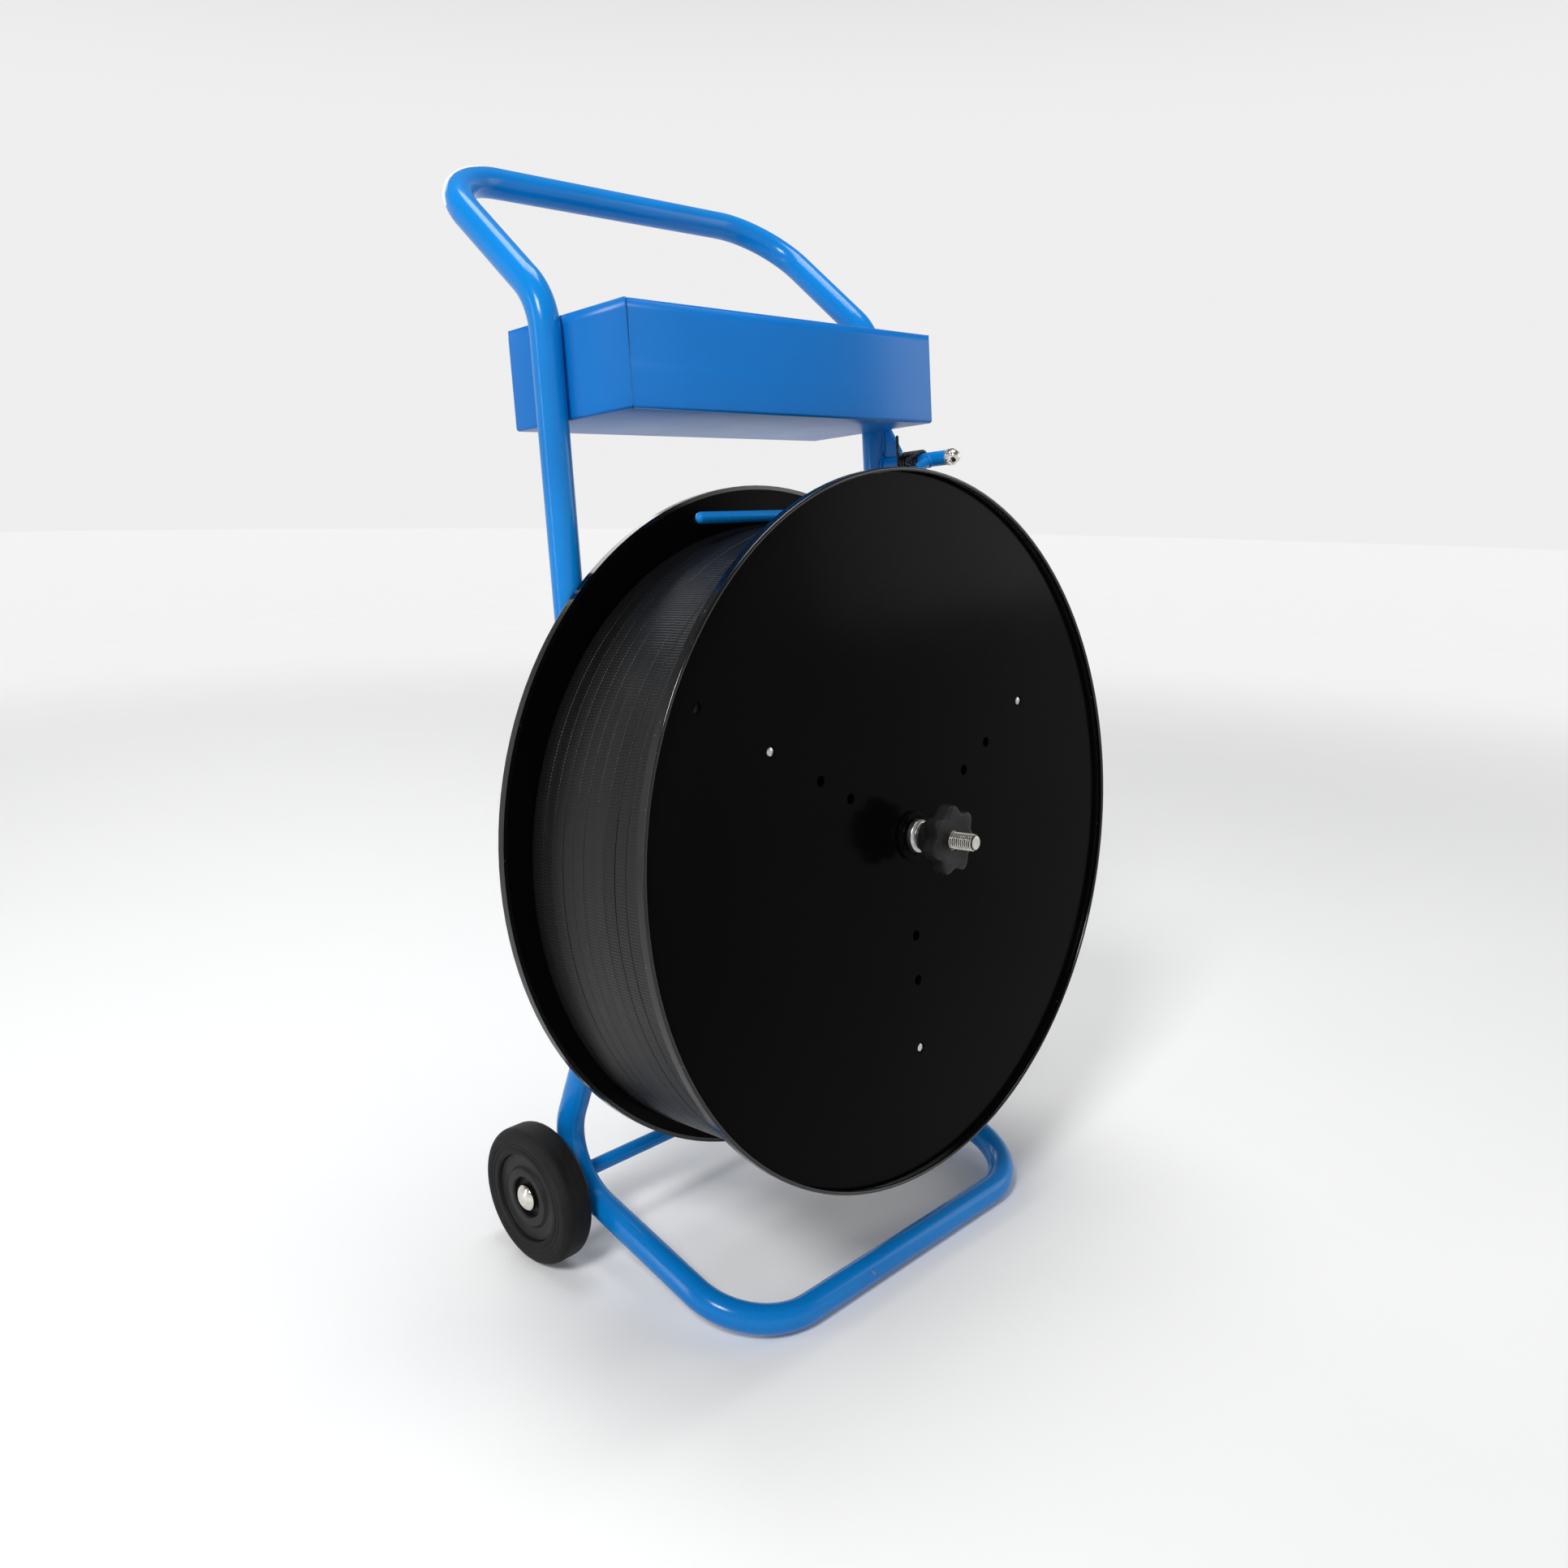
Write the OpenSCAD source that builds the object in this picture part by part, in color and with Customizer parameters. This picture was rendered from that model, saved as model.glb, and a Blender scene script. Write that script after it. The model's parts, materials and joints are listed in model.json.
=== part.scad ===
// Wheeled strap reel cart: a bent tube frame on two wheels carries a strap reel
// on a fixed axle, with a hold-down arm resting on the coil and a tool tray.
// Millimetres. Z up, Y towards the handle side, floor at z = 0.

/* [Reel] */
// Outside diameter of the two reel flanges
flange_d = 600; // [480:5:720]
// Clear space between the two flanges
reel_gap = 157; // [120:1:220]
// Sheet thickness of the flanges
flange_t = 1.5; // [1:0.1:3]
// Depth of the turned-out flange lip
lip_depth = 8; // [5:0.5:14]
// Outside diameter of the wound strap coil
coil_d = 554; // [450:1:560]
// How far the coil hangs below the reel axis on its supports
coil_drop = 11.5; // [0:0.5:14]
// Radius of the circle the three coil supports stand on
support_r = 188; // [150:1:200]
// Diameter of a coil support
support_d = 8; // [6:0.5:14]
// Wall of the coil core
core_wall = 3; // [2:0.5:8]
// Width of one band of strap
strap_w = 12.4; // [9:0.1:19]

/* [Frame] */
// Outside diameter of the frame tube
tube_d = 25; // [20:0.5:32]
// Wall of the frame tube
tube_wall = 2; // [1.5:0.1:3]
// Distance between the two side tubes, centre to centre
side_span = 396; // [340:1:480]
// Backward lean of the uprights and the reel, degrees
lean = 6; // [0:0.5:12]
// Height of the reel above the floor at its lowest point
reel_clear = 97.6; // [80:0.2:140]
// How far the front tube stands before the reel face
base_front = 10.5; // [0:0.5:40]
// Bend radius of the base corners
base_bend = 68; // [50:1:90]
// Depth of the leg bends below the reel centre
knee_drop = 122.1; // [90:0.1:160]
// Bend radius of the rear bend above the wheels
rear_bend = 58; // [45:1:75]
// Bend radius of the handle corners
grip_bend = 65; // [50:1:90]
// Height of the handle bend above the flange rims, along the upright
arm_rise = 143.6; // [120:0.2:220]
// How far the handle reaches back from the uprights
arm_reach = 136.8; // [90:0.2:180]
// Climb of the handle arms against the upright's square, degrees
arm_angle = 42.5; // [20:0.5:60]

/* [Wheels] */
// Wheel diameter over the tyre
wheel_d = 125; // [100:1:150]
// Tyre width
tyre_w = 30; // [24:1:40]
// Wheel axle bar diameter
axle_d = 14; // [12:0.5:18]
// Distance of the wheel axle behind the uprights
axle_behind = 37.9; // [20:0.1:70]

/* [Tray] */
// Tray depth, front to back
tray_depth = 151; // [110:1:190]
// Tray height
tray_h = 79.4; // [50:0.1:110]
// Clear height between the flange rims and the tray floor
tray_rise = 51.8; // [30:0.1:100]
// Tray sheet thickness
sheet = 1.5; // [1:0.1:2.5]

/* [Hold-down arm] */
// Diameter of the hold-down rod
arm_d = 9.5; // [7:0.5:12]
// Height of the arm pivot above the flange rims
pivot_rise = 20; // [14:1:40]
// Reach of the rod past the reel centre
arm_over = 115; // [60:1:150]

/* [Knob] */
// Diameter of the threaded reel axle
rod_d = 14; // [12:0.5:16]
// Diameter over the knob lobes
knob_d = 58; // [46:1:70]

/* [Hidden] */

$fn = 96;
weld_gap = 0.05;
run_fit = 0.05;
seat_gap = 0.05;
turn_gap = 0.4;
lap = 0.05;
lap_len = 0.6;

tube_r = tube_d / 2;
wheel_r = wheel_d / 2;
axle_r = axle_d / 2;
half_span = side_span / 2;
flange_r = flange_d / 2;
cl = cos(lean);
sl = sin(lean);

// Reel stations along its own axis, counted from the middle of the front rim
web_front = lip_depth / 2;
web_rear = web_front + reel_gap;
lip_rear = web_rear + lip_depth;
tray_w = side_span - tube_d - 2 * weld_gap;
upright_y = lip_rear + 3.9 + tube_r;
arm_start = flange_r + arm_rise;
tray_z = flange_r + tray_rise;
pivot_z = flange_r + pivot_rise;

reel_h = reel_clear + flange_r * cl;

// The lean plane seen from the side: reel axis coordinates to floor coordinates
function stand_y(y, z) = y * cl + z * sl;
function stand_z(y, z) = reel_h - y * sl + z * cl;

// Side outline of the frame tube
grip_y = upright_y + arm_reach;
grip_z = arm_start + arm_reach * tan(arm_angle);
knee_z = -knee_drop;
joint_z = knee_z + 62;
knee = [stand_y(upright_y, knee_z), stand_z(upright_y, knee_z)];
joint = [stand_y(upright_y, joint_z), stand_z(upright_y, joint_z)];
toe = [-base_front, tube_r];
axle_c = [upright_y + axle_behind, wheel_r];
weld_ang = 39.4;
axle_off = rear_bend + tube_r + axle_r + weld_gap;
bend_c = [axle_c[0] - axle_off * cos(weld_ang), axle_c[1] + axle_off * sin(weld_ang)];

function dist2(a, b) = norm([a[0] - b[0], a[1] - b[1]]);
function heading(a, b) = atan2(b[1] - a[1], b[0] - a[0]);
leg_ang = heading(knee, bend_c) + asin(rear_bend / dist2(knee, bend_c));
sole_ang = heading(toe, bend_c) - asin(rear_bend / dist2(toe, bend_c));
leg_u = [cos(leg_ang), sin(leg_ang)];
sole_u = [cos(sole_ang), sin(sole_ang)];
cross_k = ((toe[0] - knee[0]) * sole_u[1] - (toe[1] - knee[1]) * sole_u[0])
        / (leg_u[0] * sole_u[1] - leg_u[1] * sole_u[0]);
heel = [knee[0] + leg_u[0] * cross_k, knee[1] + leg_u[1] * cross_k];

// Footprint centring
rod_tip = -62;
back_y = stand_y(grip_y, grip_z) + tube_r;
front_y = min(stand_y(rod_tip, -rod_d / 2), toe[0] - tube_r);
y_mid = (back_y + front_y) / 2;

// Hold-down arm stations along the reel axis
sleeve_d = 14;
stud_d = 10;
rod_y = (web_front + web_rear) / 2 + 34.5;
sleeve_front = rod_y - 20;
arm_z = coil_d / 2 - coil_drop + arm_d / 2 + 0.6;
spring_wire = 3;
spring_mean = sleeve_d / 2 + 0.35 + spring_wire / 2;
spring_pitch = 6.1;
spring_turns = 8;
spring_y0 = rod_y + arm_d / 2 + 2.6;
sleeve_back = spring_y0 + spring_turns * spring_pitch / 2 + spring_wire - 0.25;

// ---- helpers ----

module leaning() {
    translate([0, -y_mid, reel_h])
        rotate([-lean, 0, 0])
            children();
}

module standing() {
    translate([0, -y_mid, 0])
        children();
}

// cylinder along Y, from y0 to y1
module along_y(d, y0, y1) {
    translate([0, y0, 0])
        rotate([-90, 0, 0])
            cylinder(d = d, h = y1 - y0);
}

// ring along Y
module ring_y(d, bore, y0, y1) {
    difference() {
        along_y(d, y0, y1);
        along_y(bore, y0 - 1, y1 + 1);
    }
}

// cylinder along X, from x0 to x1
module along_x(d, x0, x1) {
    translate([x0, 0, 0])
        rotate([0, 90, 0])
            cylinder(d = d, h = x1 - x0);
}

function unit(v) = v / norm(v);
function turn_of(a, b, c) = acos(max(-1, min(1, unit(b - a) * unit(c - b))));
function cut_of(a, b, c, r) = r * tan(turn_of(a, b, c) / 2);

// straight round bar or tube between two points
module bar(a, b, d, bore = 0) {
    v = b - a;
    translate(a)
        rotate([0, acos(v[2] / norm(v)), atan2(v[1], v[0])])
            difference() {
                cylinder(d = d, h = norm(v));
                if (bore > 0)
                    translate([0, 0, -1])
                        cylinder(d = bore, h = norm(v) + 2);
            }
}

// one bend of a round bar or tube around the corner b
module elbow(a, b, c, r, d, bore = 0) {
    u = unit(b - a);
    w = unit(c - b);
    turn = turn_of(a, b, c);
    start = b - u * cut_of(a, b, c, r);
    side = unit(w - u * (u * w));
    middle = start + side * r;
    ex = -side;
    ez = cross(ex, u);
    multmatrix([[ex[0], u[0], ez[0], middle[0]],
                [ex[1], u[1], ez[1], middle[1]],
                [ex[2], u[2], ez[2], middle[2]],
                [0, 0, 0, 1]])
        rotate_extrude(angle = turn)
            translate([r, 0])
                difference() {
                    circle(d = d + 2 * lap);
                    if (bore > 0)
                        circle(d = bore - 2 * lap);
                }
}

// bent round bar or tube through the points p with the corner radii r;
// straights run a little way into the bends, which are a hair thicker
module bent(p, r, d, bore = 0) {
    n = len(p);
    for (i = [0 : n - 2]) {
        u = unit(p[i + 1] - p[i]);
        s = (i == 0) ? 0 : cut_of(p[i - 1], p[i], p[i + 1], r[i]) - lap_len;
        e = (i == n - 2) ? 0 : cut_of(p[i], p[i + 1], p[i + 2], r[i + 1]) - lap_len;
        bar(p[i] + u * s, p[i + 1] - u * e, d, bore);
    }
    for (i = [1 : n - 2])
        elbow(p[i - 1], p[i], p[i + 1], r[i], d, bore);
}

module hollow(p, r) {
    bent(p, r, tube_d, tube_d - 2 * tube_wall);
}

// ---- frame ----

function side_pt(s, q) = [s * half_span, q[0], q[1]];

module lower_frame() {
    color([0.04, 0.38, 0.72])
        standing()
            hollow([side_pt(-1, joint), side_pt(-1, knee), side_pt(-1, heel), side_pt(-1, toe),
                    side_pt(1, toe), side_pt(1, heel), side_pt(1, knee), side_pt(1, joint)],
                   [0, 110, rear_bend, base_bend, base_bend, rear_bend, 110, 0]);
}

module upper_frame() {
    color([0.04, 0.38, 0.72])
        leaning()
            hollow([[-half_span, upright_y, joint_z + weld_gap], [-half_span, upright_y, arm_start],
                    [-half_span, grip_y, grip_z], [half_span, grip_y, grip_z],
                    [half_span, upright_y, arm_start], [half_span, upright_y, joint_z + weld_gap]],
                   [0, 60, grip_bend, grip_bend, 60, 0]);
}

// wheel axle bar, welded behind the rear bends
spacer_x = half_span + tube_r + 2.5;
wheel_x = spacer_x + 6;
face_x = wheel_x + tyre_w;
hub_floor = face_x - 8;
axle_end = hub_floor + 6;

module at_axle() {
    translate([0, axle_c[0] - y_mid, axle_c[1]])
        children();
}

module wheel_axle() {
    color([0.04, 0.36, 0.70])
        at_axle()
            along_x(axle_d, -axle_end, axle_end);
}

module wheel_spacers() {
    color([0.72, 0.72, 0.70])
        at_axle()
            for (s = [0, 1])
                mirror([s, 0, 0])
                    difference() {
                        along_x(22, spacer_x, wheel_x - turn_gap);
                        along_x(axle_d + 2 * run_fit, spacer_x - 1, wheel_x);
                    }
}

module wheel_caps() {
    cap_d = 24;
    color([0.8, 0.8, 0.78])
        at_axle()
            for (s = [0, 1])
                mirror([s, 0, 0])
                    rotate([0, 90, 0])
                        difference() {
                            rotate_extrude()
                                intersection() {
                                    translate([0, hub_floor + turn_gap + 1.5 - 7.5])
                                        circle(r = 17.5);
                                    translate([0, hub_floor + turn_gap])
                                        square([cap_d / 2, 20]);
                                }
                            translate([0, 0, hub_floor])
                                cylinder(d = axle_d + 2 * run_fit, h = axle_end - hub_floor + run_fit);
                        }
}

// cross tube between the uprights that carries the reel axle
module reel_crossbar() {
    reach = half_span - tube_r - weld_gap;
    color([0.04, 0.36, 0.70])
        leaning()
            difference() {
                translate([0, upright_y, 0])
                    along_x(tube_d, -reach, reach);
                translate([0, upright_y, 0])
                    along_x(tube_d - 2 * tube_wall, -reach - 1, reach + 1);
                along_y(rod_d + 2 * seat_gap, upright_y - tube_d, upright_y + tube_d);
            }
}

nut_y = upright_y + tube_r + 0.1;
nut_h = 11;

module reel_axle() {
    chamfer = 1.5;
    color([0.75, 0.75, 0.73])
        leaning()
            union() {
                along_y(rod_d, rod_tip + chamfer, nut_y + nut_h + 5);
                translate([0, rod_tip, 0])
                    rotate([-90, 0, 0])
                        cylinder(d1 = rod_d - 2 * chamfer, d2 = rod_d, h = chamfer);
            }
}

module rear_washer() {
    color([0.7, 0.7, 0.68])
        leaning()
            ring_y(28, rod_d + 2 * seat_gap, lip_rear - 1.8, upright_y - tube_r - seat_gap);
}

module hexagon_y(af, y0, y1) {
    translate([0, y0, 0])
        rotate([-90, 0, 0])
            cylinder(d = af / cos(30), h = y1 - y0, $fn = 6);
}

module rear_nut() {
    color([0.7, 0.7, 0.68])
        leaning()
            difference() {
                hexagon_y(21, nut_y, nut_y + nut_h);
                along_y(rod_d + 2 * seat_gap, nut_y - 1, nut_y + nut_h + 1);
            }
}

// ---- tray ----

tray_back = upright_y + 69.1;
tray_front = tray_back - tray_depth;

module tool_tray() {
    hem = 9;
    slit = 0.8;
    color([0.02, 0.36, 0.70])
        leaning()
            translate([-tray_w / 2, tray_front, tray_z])
                difference() {
                    union() {
                        difference() {
                            cube([tray_w, tray_depth, tray_h]);
                            translate([sheet, sheet, sheet])
                                cube([tray_w - 2 * sheet, tray_depth - 2 * sheet, tray_h]);
                        }
                        translate([sheet, sheet, tray_h - hem])
                            cube([tray_w - 2 * sheet, sheet, hem]);
                    }
                    translate([sheet, -1, tray_h * 0.45])
                        cube([slit, sheet * 2 + 2, tray_h]);
                }
}

// ---- hold-down arm and its pivot ----

module at_pivot() {
    leaning()
        translate([half_span, 0, pivot_z])
            children();
}

upright_face = upright_y - tube_r;

module brake_gusset() {
    thick = 4;
    foot = sleeve_d / 2 + 0.5 + weld_gap;
    color([0.04, 0.38, 0.72])
        at_pivot()
            translate([-thick / 2, 0, 0])
                rotate([90, 0, 90])
                    linear_extrude(thick)
                        polygon([[upright_face - weld_gap, foot],
                                 [upright_face - weld_gap, foot + 31],
                                 [upright_face - 5, foot + 31],
                                 [sleeve_back + 1.2, foot + 4],
                                 [sleeve_back + 1.2, foot]]);
}

module pivot_sleeve() {
    color([0.04, 0.38, 0.72])
        at_pivot()
            ring_y(sleeve_d + 1, stud_d + 2 * seat_gap, sleeve_back + turn_gap, upright_face - 0.1);
}

module pivot_stud() {
    color([0.72, 0.72, 0.70])
        at_pivot()
            along_y(stud_d, sleeve_front - 9, upright_face - weld_gap);
}

module pivot_washer() {
    color([0.72, 0.72, 0.70])
        at_pivot()
            ring_y(20, stud_d + 2 * seat_gap, sleeve_front - turn_gap - 1.6, sleeve_front - turn_gap);
}

module acorn_nut() {
    y1 = sleeve_front - turn_gap - 1.6 - seat_gap;
    nut = 8;
    color([0.85, 0.85, 0.83])
        at_pivot()
            difference() {
                union() {
                    hexagon_y(17, y1 - nut, y1);
                    translate([0, y1 - nut, 0])
                        rotate([90, 0, 0])
                            rotate_extrude()
                                intersection() {
                                    translate([0, -2])
                                        circle(r = 8);
                                    square([9, 7]);
                                }
                }
                along_y(stud_d + 2 * seat_gap, sleeve_front - 9 - 0.3, y1 + 1);
            }
}

// torsion spring: each half turn is half a ring tilted to climb half a pitch;
// the first one is cut back to where the front leg runs off along the rod
rod_bend_x = 70;
leg_dir = unit([rod_bend_x - half_span, 0, arm_z - pivot_z]);
leg_from = atan2(leg_dir[0], leg_dir[2]) + 360;
module spring_half(i) {
    rise = spring_pitch / 4;
    even = i % 2 == 0;
    tilt = atan(rise / spring_mean) * (even ? 1 : -1);
    over = even ? 0 : 2;
    cut = i == 1 ? leg_from - 180 : -over;
    translate([0, spring_y0 + spring_wire / 2 + (i - 0.5) * spring_pitch / 2, 0])
        rotate([-90, 0, 0])
            rotate([0, tilt, 0])
                rotate([0, 0, (even ? 0 : 180) + cut])
                    rotate_extrude(angle = 180 + over - cut)
                        translate([norm([spring_mean, rise]), 0])
                            circle(d = spring_wire + (even ? 2 * lap : 0));
}

module brake_spring() {
    yb = spring_y0 + spring_wire / 2;
    ye = yb + spring_turns * spring_pitch / 2;
    yl = yb + spring_pitch / 4 * (1 + cos(leg_from));
    root = [spring_mean * cos(leg_from), yl, -spring_mean * sin(leg_from)];
    color([0.12, 0.12, 0.13])
        at_pivot()
            union() {
                for (i = [1 : spring_turns])
                    spring_half(i);
                bar(root - leg_dir * lap_len, root + leg_dir * 34, spring_wire + 2 * lap);
                bar([-spring_mean, ye, -lap_len], [-spring_mean, ye, 26], spring_wire);
            }
}

module arm_sleeve() {
    color([0.04, 0.38, 0.72])
        at_pivot()
            ring_y(sleeve_d, stud_d + 2 * run_fit, sleeve_front, sleeve_back);
}

module hold_down_rod() {
    tip = -arm_over + arm_d / 2;
    root = [half_span, rod_y, pivot_z];
    corner = [rod_bend_x, rod_y, arm_z];
    start = root + unit(corner - root) * 2;
    round_from = corner[0] - 40;
    color([0.04, 0.38, 0.72])
        leaning()
            difference() {
                union() {
                    bent([start, corner, [round_from - 1, rod_y, arm_z]], [0, 60, 0], arm_d);
                    translate([round_from, rod_y, arm_z])
                        rotate([0, -90, 0])
                            rotate_extrude()
                                union() {
                                    square([arm_d / 2 - lap, round_from - tip]);
                                    translate([0, round_from - tip])
                                        intersection() {
                                            circle(r = arm_d / 2 - lap);
                                            square(arm_d);
                                        }
                                }
                }
                translate([half_span, 0, pivot_z])
                    along_y(sleeve_d + 2 * weld_gap, rod_y - arm_d, rod_y + arm_d);
            }
}

// ---- reel ----

// flange profile: flat web, turned-out lip, rolled edge; web face at v = 0, lip towards +v
module flange_profile() {
    bead = 3.2;
    translate([10.5, 0])
        square([flange_r - 10.5 - 3, flange_t]);
    difference() {
        translate([flange_r - 4, 0])
            square([4, lip_depth - bead / 2]);
        translate([flange_r - 4 - 1, flange_t])
            square([5 - flange_t, lip_depth]);
    }
    translate([flange_r - bead / 2, lip_depth - bead / 2])
        circle(d = bead);
}

// the flange on the loading side has one more hole near its rim
module flange_solid(loading) {
    hole_d = support_d + 1;
    difference() {
        rotate_extrude()
            flange_profile();
        for (k = [0 : 2])
            for (r = [support_r, 0.675 * support_r, 0.465 * support_r])
                rotate([0, 0, 30 + 120 * k])
                    translate([r, 0, -1])
                        cylinder(d = hole_d, h = flange_t + 2);
        if (loading)
            rotate([0, 0, 150])
                translate([0.9 * flange_r, 0, -1])
                    cylinder(d = hole_d, h = flange_t + 2);
    }
}

module front_flange() {
    color([0.05, 0.05, 0.06])
        leaning()
            translate([0, web_front, 0])
                rotate([90, 0, 0])
                    flange_solid(true);
}

module rear_flange() {
    color([0.05, 0.05, 0.06])
        leaning()
            mirror([0, 1, 0])
                translate([0, -web_rear, 0])
                    rotate([90, 0, 0])
                        flange_solid(false);
}

module flange_collars() {
    color([0.06, 0.06, 0.06])
        leaning()
            union() {
                ring_y(41, 21, web_front - flange_t - 3.5, web_front - flange_t - seat_gap);
                ring_y(41, 21, web_rear + flange_t + seat_gap, web_rear + flange_t + 3.5);
            }
}

hub_d = 34;
bush_d = 29;

module hub_tube() {
    color([0.08, 0.08, 0.08])
        leaning()
            ring_y(hub_d, bush_d + 2 * seat_gap, web_front + seat_gap, web_rear - seat_gap);
}

module hub_bushes() {
    color([0.85, 0.84, 0.80])
        leaning()
            union() {
                ring_y(bush_d, rod_d + 2 * run_fit, web_front + 0.4, web_front + 22);
                ring_y(bush_d, rod_d + 2 * run_fit, web_rear - 22, web_rear - 0.4);
            }
}

module at_supports() {
    leaning()
        for (k = [0 : 2])
            rotate([0, 30 + 120 * k, 0])
                translate([-support_r, 0, 0])
                    children();
}

support_end = web_rear + flange_t + 9;
nut_low = web_rear + flange_t + seat_gap;

module coil_supports() {
    color([0.75, 0.75, 0.73])
        at_supports()
            along_y(support_d, web_front - 1, support_end);
}

module support_nuts() {
    color([0.7, 0.7, 0.68])
        at_supports()
            difference() {
                hexagon_y(support_d * 1.625, nut_low, nut_low + 6.5);
                along_y(support_d + 2 * seat_gap, nut_low - 1, nut_low + 8);
            }
}

// the coil hangs below the reel axis and clears the supports all the way round
core_r = support_r + support_d / 2 + coil_drop + 0.1;

module hanging() {
    leaning()
        translate([0, 0, -coil_drop])
            children();
}

module coil_core() {
    color([0.55, 0.42, 0.28])
        hanging()
            ring_y(2 * (core_r + core_wall), 2 * core_r, web_front + 1, web_rear - 1);
}

module strap_coil() {
    inner = core_r + core_wall + 0.1;
    width = reel_gap - 2;
    bands = floor(width / strap_w);
    pitch = width / bands;
    gap = 0.5;
    color([0.10, 0.10, 0.11])
        hanging()
            translate([0, web_front + 1, 0])
                rotate([-90, 0, 0])
                    rotate_extrude()
                        union() {
                            translate([inner, 0])
                                square([coil_d / 2 - 1 - inner, width]);
                            for (i = [0 : bands - 1])
                                translate([coil_d / 2 - 1.5, i * pitch + gap / 2])
                                    square([1.5, pitch - gap]);
                        }
}

// ---- clamp knob ----

bush_front = -13;
knob_back = bush_front - turn_gap;
knob_mid = -28;
knob_front = -42;
insert_d = 20;

module thrust_bush() {
    color([0.78, 0.78, 0.76])
        leaning()
            difference() {
                union() {
                    along_y(28, -9, web_front - flange_t - 3.5 - turn_gap);
                    along_y(23, bush_front, -8.9);
                }
                along_y(rod_d + 2 * seat_gap, bush_front - 1, web_front);
            }
}

module star_knob() {
    lobe = 15;
    color([0.05, 0.05, 0.05])
        leaning()
            difference() {
                union() {
                    translate([0, knob_mid, 0])
                        rotate([90, 0, 0])
                            linear_extrude(knob_mid - knob_front)
                                union() {
                                    circle(d = knob_d - 0.8 * lobe);
                                    for (k = [0 : 6])
                                        rotate([0, 0, 90 + k * 360 / 7])
                                            translate([(knob_d - lobe) / 2, 0])
                                                circle(d = lobe);
                                }
                    along_y(29, knob_mid - 1, knob_back);
                }
                along_y(insert_d + 2 * seat_gap, knob_front - 1, knob_back - 3);
                along_y(rod_d + 2, knob_back - 4, knob_back + 1);
            }
}

module knob_insert() {
    color([0.72, 0.70, 0.62])
        leaning()
            ring_y(insert_d, rod_d + 2 * run_fit, knob_front + 2.5, knob_back - 3 - seat_gap);
}

// ---- wheels ----

rim_d = 80;
module rim_solid() {
    difference() {
        union() {
            along_x(rim_d, wheel_x + 3, face_x - 3);
            along_x(50, wheel_x, face_x - 1.5);
        }
        along_x(37, hub_floor, face_x + 1);
        along_x(axle_d + 2 * run_fit, wheel_x - 1, face_x + 1);
    }
}

module tyre_solid() {
    soft = 8;
    bore = rim_d / 2 + seat_gap;
    rotate([0, 90, 0])
        rotate_extrude()
            union() {
                translate([bore, wheel_x])
                    square([wheel_r - soft - bore, tyre_w]);
                translate([bore, wheel_x + soft])
                    square([wheel_r - bore, tyre_w - 2 * soft]);
                translate([wheel_r - soft, wheel_x + soft])
                    circle(r = soft);
                translate([wheel_r - soft, face_x - soft])
                    circle(r = soft);
            }
}

module left_rim() {
    color([0.06, 0.06, 0.06])
        at_axle()
            mirror([1, 0, 0])
                rim_solid();
}

module right_rim() {
    color([0.06, 0.06, 0.06])
        at_axle()
            rim_solid();
}

module left_tyre() {
    color([0.10, 0.10, 0.11])
        at_axle()
            mirror([1, 0, 0])
                tyre_solid();
}

module right_tyre() {
    color([0.10, 0.10, 0.11])
        at_axle()
            tyre_solid();
}

lower_frame();
upper_frame();
wheel_axle();
wheel_spacers();
wheel_caps();
reel_crossbar();
reel_axle();
rear_washer();
rear_nut();
thrust_bush();
tool_tray();
brake_gusset();
pivot_sleeve();
pivot_stud();
pivot_washer();
acorn_nut();
brake_spring();
arm_sleeve();
hold_down_rod();
rear_flange();
front_flange();
flange_collars();
hub_tube();
hub_bushes();
coil_supports();
support_nuts();
coil_core();
strap_coil();
star_knob();
knob_insert();
left_rim();
left_tyre();
right_rim();
right_tyre();
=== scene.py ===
import json
import math
import random

import bmesh
import bpy
import numpy as np
from mathutils import Matrix, Vector


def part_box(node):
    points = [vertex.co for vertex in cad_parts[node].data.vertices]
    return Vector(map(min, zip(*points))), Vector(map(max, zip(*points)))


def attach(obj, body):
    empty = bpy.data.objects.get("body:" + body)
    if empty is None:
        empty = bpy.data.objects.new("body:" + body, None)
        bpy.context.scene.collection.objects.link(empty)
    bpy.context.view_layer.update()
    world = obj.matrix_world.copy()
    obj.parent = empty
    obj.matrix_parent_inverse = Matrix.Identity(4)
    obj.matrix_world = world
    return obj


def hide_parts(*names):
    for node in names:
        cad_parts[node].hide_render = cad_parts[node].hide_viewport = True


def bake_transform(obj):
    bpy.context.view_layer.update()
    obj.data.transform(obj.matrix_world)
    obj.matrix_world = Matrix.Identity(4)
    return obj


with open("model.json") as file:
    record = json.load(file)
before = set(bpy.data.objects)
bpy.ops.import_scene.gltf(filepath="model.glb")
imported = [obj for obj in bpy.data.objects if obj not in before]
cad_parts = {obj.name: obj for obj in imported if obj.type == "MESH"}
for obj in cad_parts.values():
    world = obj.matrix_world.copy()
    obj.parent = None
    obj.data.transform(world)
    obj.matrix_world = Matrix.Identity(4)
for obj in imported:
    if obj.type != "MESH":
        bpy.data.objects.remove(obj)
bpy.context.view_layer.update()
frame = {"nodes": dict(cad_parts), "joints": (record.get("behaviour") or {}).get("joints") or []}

NODES = frame["nodes"]
JOINTS = {j["name"]: j for j in frame["joints"]}
MM = 0.001
TAU = 2 * math.pi
STRAP_RIBS = 672.3                    # embossed ribs in a turn of strap, out of step with the next
TUBE_RADIUS = 12.5                    # in mm, as are the next three: the frame's tube
AXLE_BORE = 7.08                      # bores on the 14 mm rods, a hair clear of them
ROD_RADIUS = 4.75                     # the hold-down arm's rod
ROD_BEND_X = 70                       # where that rod bends down to lie across the coil

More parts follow.
